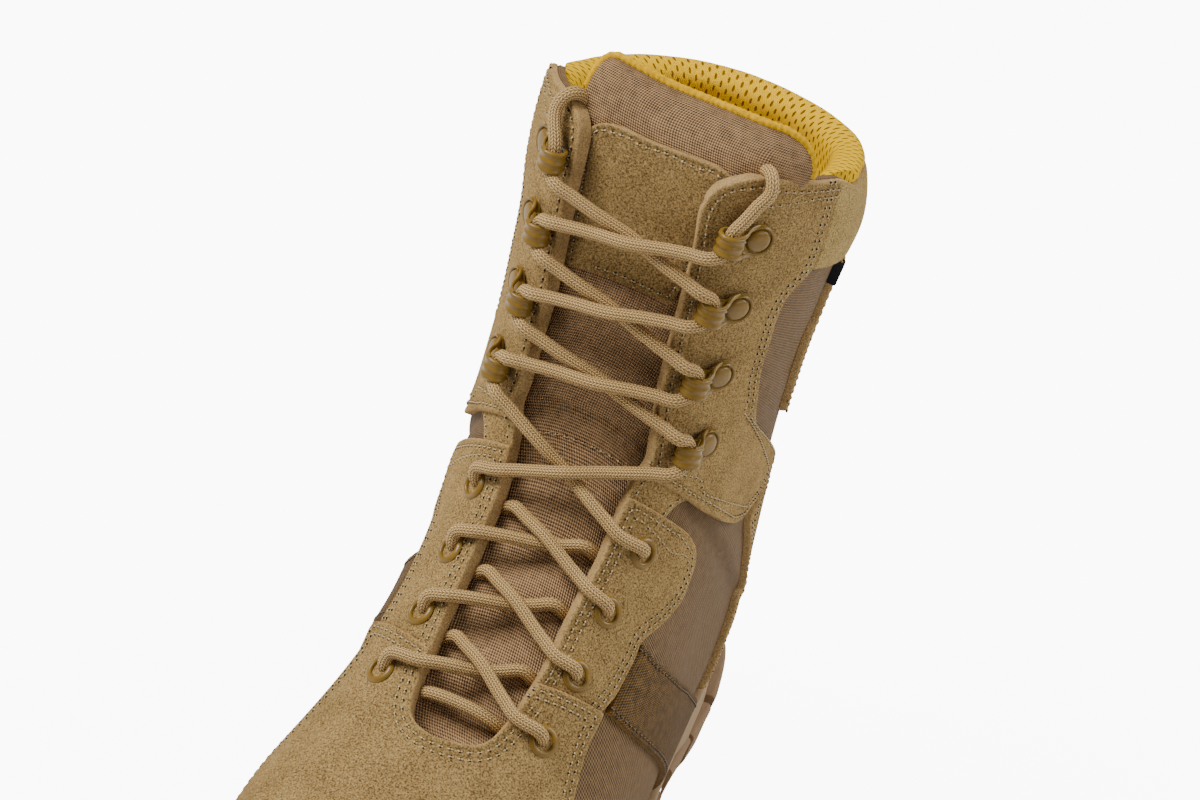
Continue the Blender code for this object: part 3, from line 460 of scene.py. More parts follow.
def shell(name, grids, low, high, material, rim=0.9, grooves=(), lining=None, spot=skinSpot):
    # Closed sheet between two lifts of the last, with a rounded rim and a shallow groove under each seam.
    flat = np.concatenate([g.reshape(-1, 2) for g in grids])
    base = lastPoint(flat[:, 0], flat[:, 1])
    _, firstAt, inverse = np.unique(np.round(base, 3), axis=0, return_index=True, return_inverse=True)
    inverse = inverse.ravel()
    row, side = flat[firstAt].T
    base = base[firstAt]
    normal = lastNormal(row, side)
    faces = []
    faceUv = []
    offset = 0
    for grid in grids:
        rows, columns = grid.shape[:2]
        ids = inverse[offset:offset + rows * columns].reshape(rows, columns)
        offset += rows * columns
        uv = clothUv(grid)
        i, j = rows // 2, columns // 2
        stepRow = base[ids[i, j]] - base[ids[i - 1, j]]
        stepSide = base[ids[i, j]] - base[ids[i, j - 1]]
        turned = np.dot(np.cross(stepSide, stepRow), normal[ids[i, j]]) < 0
        corners = ((0, 0), (0, 1), (1, 1), (1, 0))
        if turned:
            corners = corners[::-1]
        quads = np.stack([ids[a:rows - 1 + a, b:columns - 1 + b] for a, b in corners], -1).reshape(-1, 4)
        quadUv = np.stack([uv[a:rows - 1 + a, b:columns - 1 + b] for a, b in corners], 2).reshape(-1, 4, 2)
        for quad, marks in zip(quads.tolist(), quadUv):
            keep = [n for n in range(4) if quad[n] != quad[n - 1]]
            if len({quad[n] for n in keep}) == len(keep) >= 3:
                faces.append([quad[n] for n in keep])
                faceUv.append(marks[keep])
    used = set()
    for loop in faces:
        used.update(zip(loop, loop[1:] + loop[:1]))
    openEdges = [(a, b) for a, b in used if (b, a) not in used]
    tree = KDTree(len(openEdges) * 3)
    for n, (a, b) in enumerate(openEdges):
        for m in range(3):
            tree.insert(base[a] + (base[b] - base[a]) * m / 3, n * 3 + m)
    tree.balance()
    away = np.array([tree.find(p)[2] for p in base])
    lows = valueOf(low, row, side)
    highs = valueOf(high, row, side)
    reach = np.minimum(rim, (highs - lows) * 0.8)
    inside = np.clip(1 - away / np.maximum(rim, 1e-6), 0, 1)
    lifted = highs - reach * (1 - np.sqrt(1 - inside ** 2))
    for inset in grooves:
        lifted -= groove["deep"] * np.exp(-((away - inset) / groove["wide"]) ** 2)
    points = np.vstack([spot(row, side, lifted), spot(row, side, lows)]) * mm
    count = len(base)
    allFaces = faces + [[v + count for v in reversed(loop)] for loop in faces]
    allUv = faceUv + [marks[::-1] for marks in faceUv]
    for a, b in openEdges:
        allFaces.append([b, a, a + count, b + count])
        allUv.append(np.zeros((4, 2)) + faceUv[0][0])
    mesh = meshOf(name, points.tolist(), allFaces, material, np.concatenate(allUv) * mm)
    mark = mesh.attributes.new("edge", "FLOAT", "POINT")
    mark.data.foreach_set("value", np.concatenate([away, away * 0]).astype(np.float32))
    if lining:
        mesh.materials.append(lining)
        index = np.zeros(len(allFaces), np.int32)
        index[len(faces):2 * len(faces)] = 1
        mesh.polygons.foreach_set("material_index", index)
    return shaded(name, mesh, 50)


# Materials, and the shader groups that several finishes share.
def newMaterial(name, roughness, sheen=0.0, coat=0.0, specular=0.5):
    material = bpy.data.materials.new(name)
    material.use_nodes = True
    shader = material.node_tree.nodes["Principled BSDF"]
    shader.inputs["Roughness"].default_value = roughness
    shader.inputs["Sheen Weight"].default_value = sheen
    shader.inputs["Coat Weight"].default_value = coat
    shader.inputs["Specular IOR Level"].default_value = specular
    return material, shader, material.node_tree


def colour(red, green, blue):
    parts = [c / 255 for c in (red, green, blue)]
    return (*[p / 12.92 if p <= 0.04045 else ((p + 0.055) / 1.055) ** 2.4 for p in parts], 1.0)


def newGroup(name, inputs, outputs):
    group = bpy.data.node_groups.new(name, "ShaderNodeTree")
    for label, value in inputs:
        group.interface.new_socket(label, in_out="INPUT", socket_type="NodeSocketFloat").default_value = value
    for label in outputs:
        group.interface.new_socket(label, in_out="OUTPUT", socket_type="NodeSocketFloat")
    return group, group.nodes.new("NodeGroupInput"), group.nodes.new("NodeGroupOutput")


def addNode(tree, kind, inputs, **settings):
    node = tree.nodes.new(kind)
    for label, value in settings.items():
        setattr(node, label, value)
    for label, value in inputs.items():
        if isinstance(value, bpy.types.NodeSocket):
            tree.links.new(value, node.inputs[label])
        else:
            node.inputs[label].default_value = value
    return node


def mathNode(tree, operation, *values):
    return addNode(tree, "ShaderNodeMath", dict(enumerate(values)), operation=operation).outputs[0]


def mathIn(tree):
    return lambda operation, *values: mathNode(tree, operation, *values)


def clamped(tree, value):
    return mathNode(tree, "MINIMUM", mathNode(tree, "MAXIMUM", value, 0.0), 1.0)


def noiseNode(tree, scale, detail, roughness=0.5):
    place = tree.nodes.new("ShaderNodeTexCoord").outputs["Object"]
    inputs = {"Scale": scale, "Detail": detail, "Roughness": roughness, "Vector": place}
    return addNode(tree, "ShaderNodeTexNoise", inputs).outputs["Fac"]


def clothParts(tree):
    uv = addNode(tree, "ShaderNodeUVMap", {}, uv_map="cloth")
    return addNode(tree, "ShaderNodeSeparateXYZ", {"Vector": uv.outputs["UV"]}).outputs


def mixColour(tree, mask, first, second):
    inputs = {"Factor": mask, 6: first, 7: second}
    return addNode(tree, "ShaderNodeMix", inputs, data_type="RGBA").outputs[2]


def colourInto(tree, shader, mask, first, second):
    tree.links.new(mixColour(tree, mask, first, second), shader.inputs["Base Color"])


def bumpInto(tree, shader, height, distance):
    inputs = {"Strength": 1.0, "Distance": distance * mm, "Height": height}
    node = addNode(tree, "ShaderNodeBump", inputs)
    tree.links.new(node.outputs["Normal"], shader.inputs["Normal"])


def groupNode(tree, group, **values):
    return addNode(tree, "ShaderNodeGroup", values, node_tree=group).outputs


def makeNapGroup():
    # Short brushed fibre: fine grain, soft patches where the nap lies another way.
    group, source, sink = newGroup("nap", (("Grain", 1900.0), ("Patch", 90.0)), ("Tint", "Height"))
    grain = noiseNode(group, source.outputs["Grain"], 4.0, 0.65)
    patch = noiseNode(group, source.outputs["Patch"], 5.0)
    calc = mathIn(group)
    fine = calc("MULTIPLY_ADD", grain, 3.4, -1.7)
    broad = calc("MULTIPLY_ADD", patch, 0.5, -0.25)
    tint = calc("ADD", calc("ADD", fine, broad), 0.5)
    height = calc("MULTIPLY_ADD", patch, 0.5, grain)
    group.links.new(clamped(group, tint), sink.inputs["Tint"])
    group.links.new(height, sink.inputs["Height"])
    return group


def makeWeaveGroup():
    # Plain weave on the cloth's own map: bright crowns set like a chessboard, dark gaps between them. The
    # colour follows the crowns' height: painted highlight on the crowns, painted shade in the gaps, and
    # random unevenness.
    inputs = (("Across", 1.0), ("Along", 1.0), ("Uneven", 0.25), ("Slant", 0.0), ("Sharp", 1.0))
    group, source, sink = newGroup("weave", inputs, ("Tint", "Height"))
    calc = mathIn(group)
    parts = clothParts(group)
    slant = source.outputs["Slant"]
    backSlant = calc("MULTIPLY", slant, -1.0)
    waves = []
    for axis, other, lean, label in (("X", "Y", slant, "Across"), ("Y", "X", backSlant, "Along")):
        place = calc("MULTIPLY_ADD", parts[other], lean, parts[axis])
        turns = calc("DIVIDE", place, calc("MULTIPLY", source.outputs[label], mm))
        waves.append(calc("SINE", calc("MULTIPLY", turns, math.pi)))
    even = calc("MULTIPLY_ADD", calc("MULTIPLY", *waves), 0.5, 0.5)
    crown = calc("POWER", even, source.outputs["Sharp"])
    loose = calc("MULTIPLY_ADD", noiseNode(group, 420.0, 3.0), 2.0, -1.0)
    uneven = calc("MULTIPLY", loose, source.outputs["Uneven"])
    # Tint: painted highlight on the crowns and painted shade in the gaps, plus random unevenness.
    group.links.new(clamped(group, calc("ADD", crown, uneven)), sink.inputs["Tint"])
    group.links.new(crown, sink.inputs["Height"])
    return group


def makeBraidGroup():
    # Round braid: lengthwise wales of slanting stitches that lean left and right in turn. The colour follows
    # the crowns: painted highlight on each stitch, painted shade in the gaps.
    group, source, sink = newGroup("braid", (("Wales", 14.0), ("Pitch", 0.95)), ("Tint", "Height"))
    calc = mathIn(group)
    parts = clothParts(group)
    around = calc("MULTIPLY", parts["X"], source.outputs["Wales"])
    lean = calc("PINGPONG", around, 1.0)
    pitch = calc("MULTIPLY", source.outputs["Pitch"], mm)
    along = calc("ADD", calc("DIVIDE", parts["Y"], pitch), lean)
    crowns = []
    for place, power in ((along, 0.7), (around, 0.6)):
        wave = calc("SINE", calc("MULTIPLY", place, math.pi))
        crowns.append(calc("POWER", calc("ABSOLUTE", wave), power))
    crown = calc("MULTIPLY", *crowns)
    group.links.new(crown, sink.inputs["Tint"])
    group.links.new(crown, sink.inputs["Height"])
    return group


def makeEdgeGroup():
    # Raw cut edge: 1 at the rim, 0 a little way in.
    group, source, sink = newGroup("rawEdge", (("Reach", 0.8),), ("Mask",))
    mark = addNode(group, "ShaderNodeAttribute", {}, attribute_name="edge")
    calc = mathIn(group)
    share = calc("DIVIDE", mark.outputs["Fac"], source.outputs["Reach"])
    group.links.new(calc("MAXIMUM", calc("SUBTRACT", 1.0, share), 0.0), sink.inputs["Mask"])
    return group


def makeMeshGroup():
    # Knitted spacer mesh: oblong holes, every second column shifted by half a step. The holes are coloured
    # dark: painted shade inside them.
    group, source, sink = newGroup("knit", (("Across", 2.5), ("Along", 4.2)), ("Hole", "Height"))
    calc = mathIn(group)
    parts = clothParts(group)
    u = calc("DIVIDE", parts["X"], calc("MULTIPLY", source.outputs["Across"], mm))
    v = calc("DIVIDE", parts["Y"], calc("MULTIPLY", source.outputs["Along"], mm))
    shift = calc("MULTIPLY", calc("FLOORED_MODULO", calc("FLOOR", u), 2.0), 0.5)
    du = calc("SUBTRACT", calc("FRACT", u), 0.5)
    dv = calc("SUBTRACT", calc("FRACT", calc("ADD", v, shift)), 0.5)
    halfWide, halfTall = 0.19, 0.27
    wide = calc("POWER", calc("DIVIDE", du, halfWide), 2.0)
    tall = calc("POWER", calc("DIVIDE", dv, halfTall), 2.0)
    away = calc("SQRT", calc("ADD", wide, tall))
    limits = {"Value": away, "From Min": 0.65, "From Max": 1.15, "To Min": 1.0, "To Max": 0.0}
    hole = addNode(group, "ShaderNodeMapRange", limits, interpolation_type="SMOOTHSTEP").outputs["Result"]
    group.links.new(hole, sink.inputs["Hole"])
    loops = calc("SINE", calc("MULTIPLY", calc("ADD", u, v), 18.0))
    height = calc("MULTIPLY_ADD", loops, 0.12, calc("SUBTRACT", 1.0, hole))
    group.links.new(height, sink.inputs["Height"])
    return group


napGroup = makeNapGroup()
weaveGroup = makeWeaveGroup()
braidGroup = makeBraidGroup()
edgeGroup = makeEdgeGroup()
meshGroup = makeMeshGroup()


def suedeFinish(name, dark, light, edge):
    material, shader, tree = newMaterial(name, 0.95, sheen=0.28, specular=0.05)
    shader.inputs["Sheen Roughness"].default_value = 0.4
    shader.inputs["Sheen Tint"].default_value = light
    nap = groupNode(tree, napGroup)
    rim = groupNode(tree, edgeGroup)
    raised = mathNode(tree, "MULTIPLY_ADD", rim["Mask"], 0.12, nap["Tint"])
    base = mixColour(tree, mathNode(tree, "MINIMUM", raised, 1.0), dark, light)
    colourInto(tree, shader, mathNode(tree, "MULTIPLY", rim["Mask"], 0.3), base, edge)
    bumpInto(tree, shader, nap["Height"], 0.35)
    return material


def weaveFinish(name, dark, light, pitch, depth, slant=0.0, sharp=1.0, calm=0.4, uneven=0.25, specular=0.2):
    # Seen at a grazing angle, the painted highlight on the crowns and painted shade in the gaps fade toward
    # one calm tone; the fade follows the view angle and feeds the colour.
    material, shader, tree = newMaterial(name, 0.72, specular=specular)
    weave = groupNode(tree, weaveGroup, Across=pitch, Along=pitch, Slant=slant, Sharp=sharp, Uneven=uneven)
    # Layer Weight feeds the colour: a painted fade of highlight and shade by view angle.
    angle = tree.nodes.new("ShaderNodeLayerWeight").outputs["Facing"]
    blend = mathNode(tree, "MAXIMUM", mathNode(tree, "MULTIPLY_ADD", angle, 1.5, -0.8), 0.0)
    toCalm = mathNode(tree, "SUBTRACT", calm, weave["Tint"])
    tint = mathNode(tree, "MULTIPLY_ADD", toCalm, blend, weave["Tint"])
    colourInto(tree, shader, tint, dark, light)
    bumpInto(tree, shader, weave["Height"], depth)
    return material


def laceFinish(name, dark, light):
    material, shader, tree = newMaterial(name, 0.7, specular=0.3)
    braid = groupNode(tree, braidGroup)
    colourInto(tree, shader, braid["Tint"], dark, light)
    bumpInto(tree, shader, braid["Height"], 0.3)
    return material


def meshFinish(name, hole, yarn):
    material, shader, tree = newMaterial(name, 0.85, specular=0.1)
    knit = groupNode(tree, meshGroup)
    shade = tuple(c * 0.72 for c in yarn[:3]) + (1.0,)
    uneven = mixColour(tree, noiseNode(tree, 900.0, 3.0), shade, yarn)
    # The hole colour is painted shade inside the mesh's holes.
    colourInto(tree, shader, knit["Hole"], uneven, hole)
    bumpInto(tree, shader, knit["Height"], 0.8)
    return material


def mouldedFinish(name, dark, light, roughness, grain, depth):
    material, shader, tree = newMaterial(name, roughness)
    colourInto(tree, shader, noiseNode(tree, 60.0, 5.0), dark, light)
    bumpInto(tree, shader, noiseNode(tree, grain, 3.0), depth)
    return material


def paintFinish(name, dark, light):
    material, shader, tree = newMaterial(name, 0.4, coat=0.18, specular=0.3)
    shader.inputs["Coat Roughness"].default_value = 0.14
    colourInto(tree, shader, noiseNode(tree, 260.0, 4.0), dark, light)
    bumpInto(tree, shader, noiseNode(tree, 700.0, 2.0), 0.05)
    return material


def threadFinish(name, dark, light, sheen=0.2, specular=0.5):
    material, shader, tree = newMaterial(name, 0.6, sheen=sheen, specular=specular)
    colourInto(tree, shader, noiseNode(tree, 900.0, 2.0), dark, light)
    bumpInto(tree, shader, noiseNode(tree, 3000.0, 1.0), 0.08)
    return material


suede = suedeFinish("suede", colour(82, 60, 29), colour(185, 153, 99), colour(190, 155, 110))
cuffSuede = suedeFinish("cuffSuede", colour(98, 76, 38), colour(196, 167, 109), colour(192, 158, 110))
# Woven finishes: the light colour is painted highlight on the thread crowns, the dark colour painted shade in
# the gaps.
nylon = weaveFinish("sideNylon", colour(42, 29, 15), colour(147, 115, 75), 1.1, 0.3, slant=1.0)
tongueNylon = weaveFinish("tongueNylon", colour(46, 29, 15), colour(206, 164, 117), 0.92, 0.4, slant=1.0)
# Lining mesh: the first colour is painted shade inside the holes, the second the yarn.
liningMesh = meshFinish("liningMesh", colour(128, 84, 4), colour(246, 194, 6))
webbingCloth = weaveFinish("webbingCloth", colour(42, 28, 10), colour(150, 112, 56), 1.0, 0.5, slant=1.0,
                           sharp=1.6, calm=0.34, uneven=0.45)
# Lace colours: the light one is painted highlight on the braid's stitches, the dark one painted shade between
# them.
laceCord = laceFinish("laceCord", colour(62, 39, 14), colour(232, 190, 124))
midsoleFoam = mouldedFinish("midsoleFoam", colour(140, 112, 76), colour(164, 136, 98), 0.6, 1500.0, 0.08)
outsoleRubber = mouldedFinish("outsoleRubber", colour(120, 92, 60), colour(146, 116, 82), 0.7, 1800.0, 0.12)
insoleFelt = mouldedFinish("insoleFelt", colour(52, 46, 38), colour(84, 74, 60), 0.95, 2200.0, 0.3)
brownPaint = paintFinish("brownPaint", colour(102, 76, 16), colour(136, 103, 32))
thread = threadFinish("thread", colour(142, 114, 62), colour(224, 198, 144))
darkThread = threadFinish("darkThread", colour(70, 48, 18), colour(128, 96, 50))
# Needle holes: dark colours for flat discs between the threads, painted shade of the holes.
needleHoleShade = threadFinish("needleHoleShade", colour(32, 21, 9), colour(58, 41, 20), specular=0.0)
tagTape = weaveFinish("tagTape", colour(16, 16, 18), colour(46, 46, 50), 0.6, 0.15, specular=0.0)
bindingYarn = threadFinish("bindingYarn", colour(150, 104, 4), colour(246, 192, 8), sheen=0.0, specular=0.1)
print("finishes made")


# Frames of the eyelets and hooks: x toward the throat, y along the flap's edge, z outward.
fasteners = {
    # medial row and side, lateral row and side
    "eyelets": ((7.21, -0.250, 7.23, 0.265), (8.18, -0.229, 8.28, 0.261), (9.30, -0.238, 9.42, 0.256),
                (10.93, -0.240, 11.08, 0.268)),
    "hooks": ((15.38, -0.215, 15.32, 0.258), (17.28, -0.222, 17.07, 0.246), (18.96, -0.223, 18.76, 0.227),
              (20.76, -0.223, 20.50, 0.213)),
}


def fastenerFrame(row, side):
    outward = Vector(lastNormal(row, side))
    upward = Vector(lastPoint(row + 0.3, side) - lastPoint(row - 0.3, side))
    toward = (upward.cross(outward) * (1.0 if side < 0 else -1.0)).normalized()
    along = outward.cross(toward)
    turned = Matrix((toward, along, outward)).transposed().to_4x4()
    return Matrix.Translation(Vector(lastPoint(row, side))) @ turned


def placeOf(kind, number, side):
    place = fasteners[kind][number - 1]
    return place[:2] if side < 0 else place[2:]


def frameOf(kind, number, side):
    return fastenerFrame(*placeOf(kind, number, side))


def inFrame(matrix, u, w, h):
    return np.array(matrix @ Vector((u, w, h)))


def upwardSign(matrix):
    return 1.0 if matrix.to_3x3().col[1].z > 0 else -1.0


# Lace: strands go down through their eyelets and under the flaps, and the ends fold over the collar's edge.
lace = {
    "radius": 2.0,
    "sides": 18,
    "step": 0.7,
    "ride": last["overlayTop"] + 2.0 + 0.65,
    "channelU": 9.2,
    "channelH": last["overlayTop"] + 0.3 + 1.0 + 2.0 + 0.35,
    "rest": last["overlayTop"] + 0.6 + 0.9 + 2.0,
    "barRow": 7.05,
    # by side: how far a strand arches up beside its eyelet, and where it goes under the flap below the next
    "arch": {-1: 5.4, 1: 0.6},
    "under": {-1: -3.5, 1: -6.2},
    # each end: its side as a share of the top hook's, and the fold's row, height in rows, middle and reach
    "endShare": {-1: 0.92, 1: 0.98},
    "foldRow": 21.95,
    "foldRise": 0.36,
    "foldMiddle": 0.7,
    "foldReach": 4.9,
    "crossGap": 0.15,
    "crossSpread": 9.0,
    "endHold": 12.0,
    "slim": 0.16,
}
# A run longer than the first length is straight but for the second length at each end.
pulled = {"longer": 15.0, "bend": 6.0}


def liftedPoint(row, side, lift):
    return np.asarray(lastPoint(row, side) + lastNormal(row, side) * lift)


def edgeRow(matrix, side, rise):
    rows = np.linspace(throatRows[0, 0], last["collarRow"], 300)
    points = lastPoint(rows, throatEdge(rows, side))
    back = matrix.inverted()
    heights = np.array([(back @ Vector(p)).y for p in points]) * upwardSign(matrix)
    return float(rows[np.argmin(np.abs(heights - rise))])


def overEdge(matrix, side, rise, lift):
    row = edgeRow(matrix, side, rise)
    return liftedPoint(row, float(throatEdge(row, side)), lift)


def fromEyelet(number, side):
    matrix = frameOf("eyelets", number, side)
    way = upwardSign(matrix)
    arch = lace["arch"][side]
    return [inFrame(matrix, 0.3, 0.0, -5.0), inFrame(matrix, 0.3, 0.0, -1.0),
            inFrame(matrix, 0.7, 0.2 * arch * way, 2.4),
            inFrame(matrix, 2.8, 0.75 * arch * way, lace["rest"] - 0.7),
            overEdge(matrix, side, arch + 0.6, lace["ride"] - 0.3)]


def toFlap(number, side):
    matrix = frameOf("eyelets", number + 1, side)
    row = edgeRow(matrix, side, lace["under"][side])
    edge = float(throatEdge(row, side))
    return [liftedPoint(row, edge * share, lift) for share, lift in ((0.72, -2.9), (0.98, -4.4), (1.2, -5.6))]


def atHook(number, side, above):
    matrix = frameOf("hooks", number, side)
    up = 1.0 if above else -1.0
    way = up * upwardSign(matrix)
    steps = ((0.0, 0.2, 0.0), (0.2, 2.6, 0.0), (1.7, 4.6, 0.0), (4.8, 5.7, -0.3))
    return [inFrame(matrix, lace["channelU"] + u, w * way, lace["channelH"] + h) for u, w, h in steps]


def laceEnd(side):
    place = placeOf("hooks", 4, side)[1] * lace["endShare"][side]
    line = atHook(4, side, True)[:2]
    for turn in np.linspace(0, math.pi, 7):
        row = lace["foldRow"] + lace["foldRise"] * math.sin(turn)
        line.append(liftedPoint(row, place, lace["foldMiddle"] + lace["foldReach"] * math.cos(turn)))
    return line


def smoothLine(keys, step):
    # Long runs are pulled straight between their ends.
    keys = [np.asarray(key, float) for key in keys]
    spaced = keys[:1]
    for start, end in zip(keys, keys[1:]):
        gap = np.linalg.norm(end - start)
        if gap > pulled["longer"]:
            bend = (end - start) * pulled["bend"] / gap
            spaced += [start + bend, end - bend]
        spaced.append(end)
    keys = np.array(spaced)
    gaps = np.linalg.norm(np.diff(keys, axis=0), axis=1)[:, None]
    slopes = np.diff(keys, axis=0) / gaps
    inner = (slopes[:-1] * gaps[1:] + slopes[1:] * gaps[:-1]) / (gaps[1:] + gaps[:-1])
    ways = np.vstack([slopes[:1], inner, slopes[-1:]])
    k = np.linspace(0, 1, 60)[:, None]
    pieces = []
    for n, gap in enumerate(gaps):
        start, end = keys[n], keys[n + 1]
        swing = gap * (k * (1 - k) ** 2 * ways[n] - k ** 2 * (1 - k) * ways[n + 1])
        pieces.append(start + (end - start) * k ** 2 * (3 - 2 * k) + swing)
    fine = np.vstack(pieces)
    run = runAlong(fine)
    return readAt(np.linspace(0, run[-1], max(3, round(run[-1] / step))), run, fine)


def partStrands(upper, lower):
    # Where two strands cross, the upper one rises and the lower one dips until they just clear each other.
    gaps = np.linalg.norm(upper[:, None] - lower[None], axis=-1)
    i, j = np.unravel_index(np.argmin(gaps), gaps.shape)
    upperWay = upper[min(i + 1, len(upper) - 1)] - upper[i - 1]
    lowerWay = lower[min(j + 1, len(lower) - 1)] - lower[j - 1]
    normal = np.cross(upperWay, lowerWay)
    normal = normal / np.linalg.norm(normal)
    normal = normal * np.sign(normal @ np.array([0.0, -1.0, 1.0]))
    need = 2 * lace["radius"] + lace["crossGap"] - (upper[i] - lower[j]) @ normal
    for line, at, sign in ((upper, i, 0.55), (lower, j, -0.45)):
        away = (np.arange(len(line)) - at) * lace["step"]
        ends = np.minimum(np.arange(len(line)), np.arange(len(line))[::-1]) * lace["step"]
        hold = np.clip(ends / lace["endHold"], 0, 1)
        line += (sign * need * np.exp(-(away / lace["crossSpread"]) ** 2) * hold)[:, None] * normal


# Ripple round a cord, beads along a yarn, and the length over which a strand is slim inside its eyelet.
tube = {"rippleMiddle": 0.6, "beadRate": 3.3, "beadDrift": 0.7, "slimTo": 9.0, "slimFade": 3.0}


def tubeMesh(name, lines, material, radius, sides, wales=9, ripple=0.05, beads=0.0, slim=0.0):
    points = []
    faces = []
    marks = []
    turn = np.linspace(0, 2 * math.pi, sides, endpoint=False)
    for line in lines:
        ways = unit(np.gradient(line, axis=0))
        run = runAlong(line)
        across = np.cross(ways[0], (0.31, 0.2, 1.0))
        faces += tubeFaces(len(line), sides, len(points))
        marks += wallMarks(run * mm, np.arange(sides + 1) / sides) + [(0, 0)] * (2 * sides)
        for place, way, at in zip(line, ways, run):
            across = across - way * np.dot(across, way)
            across /= np.linalg.norm(across)
            other = np.cross(way, across)
            wide = radius * (1 + ripple * (np.abs(np.cos(turn * wales / 2)) - tube["rippleMiddle"]))
            wide = wide * (1 + beads * math.sin(at * tube["beadRate"] + math.sin(at * tube["beadDrift"])))
            wide = wide * (1 - slim * min(1.0, max(0.0, (tube["slimTo"] - at) / tube["slimFade"])))
            ring = place + wide[:, None] * (np.cos(turn)[:, None] * across + np.sin(turn)[:, None] * other)
            points.extend(ring * mm)
    return shaded(name, meshOf(name, [tuple(p) for p in points], faces, material, marks), 60)


def makeLaces():
    step = lace["step"]
    row = lace["barRow"]
    left, right = (float(throatEdge(row, side)) for side in (-1, 1))
    places = ((left * 1.15, -4.8), (left * 0.8, -2.6), (0.0, -2.0), (right * 0.8, -2.6), (right * 1.12, -4.8))
    bar = smoothLine([liftedPoint(row, side, lift) for side, lift in places], step)
    item = tubeMesh("laceBar", [bar], laceCord, lace["radius"], lace["sides"])
    dress(item, "lace_cord", "lace_bar")
    for number in range(1, 8):
        lines = {}
        for side in (-1, 1):
            if number <= 3:
                keys = fromEyelet(number, side) + toFlap(number, -side)
            elif number == 4:
                keys = fromEyelet(4, side) + atHook(1, -side, False)[::-1]
            else:
                keys = atHook(number - 4, side, True) + atHook(number - 3, -side, False)[::-1]
            lines[side] = smoothLine(keys, step)
        over = 1 if number <= 3 else -1
        partStrands(lines[over], lines[-over])
        name = f"laceCrossing{number}"
        slim = lace["slim"] if number <= 4 else 0.0
        item = tubeMesh(name, [lines[-1], lines[1]], laceCord, lace["radius"], lace["sides"], slim=slim)
        dress(item, "lace_cord", f"lace_crossing_{number}")
    for label, side in bothSides[::-1]:
        line = smoothLine(laceEnd(side), step)
        item = tubeMesh(f"laceEnd_{label}", [line], laceCord, lace["radius"], lace["sides"])
        dress(item, "lace_cord", f"lace_end_{label}")


makeCamera(camera)
makeStudio(studio)
makeLaces()
print("camera, studio and lace made")


# Upper: one nylon wall, lined inside, open at collar, throat and underneath.
upper = {"rowStep": 0.1, "columns": 56}


def makeUpper(size):
    top = last["collarRow"]
    rows = np.concatenate([np.arange(0.0, 6.5, size["rowStep"]), (6.52, 6.54, 6.56, 6.6, 6.66, 6.75),
                           np.arange(6.85, 21.6, size["rowStep"]), np.linspace(21.6, top, 16)])
    grids = []
    for side in (-1, 1):
        inner = np.stack([rows, throatEdge(rows, side)], -1)
        outer = np.stack([rows, np.full_like(rows, side)], -1)
        k = packed(size["columns"], 100.0, plainSteps)[None, :, None]
        grids.append(collarTrim(inner[:, None] + (outer - inner)[:, None] * k))
    item = shell("upperShell", grids, -last["wall"], 0.0, nylon, rim=0.8, lining=liningMesh)
    dress(item, "nylon", "upper")


makeUpper(upper)
print("upper made")


# Suede overlays. Edges are lists of (row, side); seams follow their edges at the insets named here.
overlay = {
    "low": 0.06,
    "high": last["overlayTop"],
    "rim": 0.8,
    "insets": (2.2, 4.4),
    "sunk": 0.12,
    "seamStep": 0.8,
    "seamRounds": 6,
}
seams = {"light": [], "dark": []}


def walkIn(grid, edge, inset):
    # Points of (row, side) along one edge of a grid, a given distance in from it.
    if edge in ("first", "last"):
        grid = grid.transpose(1, 0, 2)
    if edge in ("last", "outer"):
        grid = grid[:, ::-1]
    points = lastPoint(grid[..., 0], grid[..., 1])
    run = np.cumsum(np.linalg.norm(np.diff(points, axis=1), axis=-1), 1)
    run = np.concatenate([np.zeros((len(grid), 1)), run], 1)
    tangent = np.gradient(points[:, 0], axis=0)
    inward = points[:, min(8, points.shape[1] - 1)] - points[:, 0]
    sine = np.linalg.norm(np.cross(tangent, inward), axis=-1)
    sine = sine / np.maximum(np.linalg.norm(tangent, axis=-1) * np.linalg.norm(inward, axis=-1), 1e-9)
    reach = inset / np.clip(sine, 0.35, 1)
    line = np.array([[np.interp(r, run[n], grid[n, :, m]) for m in (0, 1)] for n, r in enumerate(reach)])
    return line if edge in ("inner", "last") else line[::-1]


def rimOf(grid, edge):
    return {"inner": grid[:, 0], "last": grid[-1], "outer": grid[::-1, -1], "first": grid[0, ::-1]}[edge]


def sew(grid, edges, lift, insets=None, spans=None, spot=skinSpot, tone="light"):
    # One seam that follows several edges of a grid in turn, round their corners.
    spans = spans or {}
    rims = np.concatenate([rimOf(grid, edge) for edge in edges])
    rimPoints = lastPoint(rims[:, 0], rims[:, 1])
    tree = KDTree(len(rimPoints))
    for n, point in enumerate(rimPoints):
        tree.insert(point, n)
    tree.balance()
    for inset in insets or overlay["insets"]:
        parts = []
        for edge in edges:
            line = walkIn(grid, edge, inset)
            start, end = spans.get(edge, (0.0, 1.0))
            parts.append(line[int(start * len(line)):math.ceil(end * len(line))])
        line = np.concatenate(parts)
        points = lastPoint(line[:, 0], line[:, 1])
        keep = np.array([tree.find(point)[2] > inset * 0.9 for point in points])
        line = line[keep]
        points = points[keep]
        apart = np.concatenate([[True], np.linalg.norm(np.diff(points, axis=0), axis=1) > 0.05])
        line = smoothed(evenLine(line[apart], overlay["seamStep"]), overlay["seamRounds"])
        sewLine(line, lift, spot, tone)


def evenLine(line, step):
    run = runAlong(lastPoint(*line.T))
    return readAt(np.linspace(0, run[-1], max(4, round(run[-1] / step))), run, line)


def sewLine(line, lift, spot=skinSpot, tone="light"):
    row, side = np.asarray(line, float).T
    lifts = valueOf(lift, row, side) - overlay["sunk"]
    seams[tone].append((spot(row, side, lifts) * mm, lastNormal(row, side)))


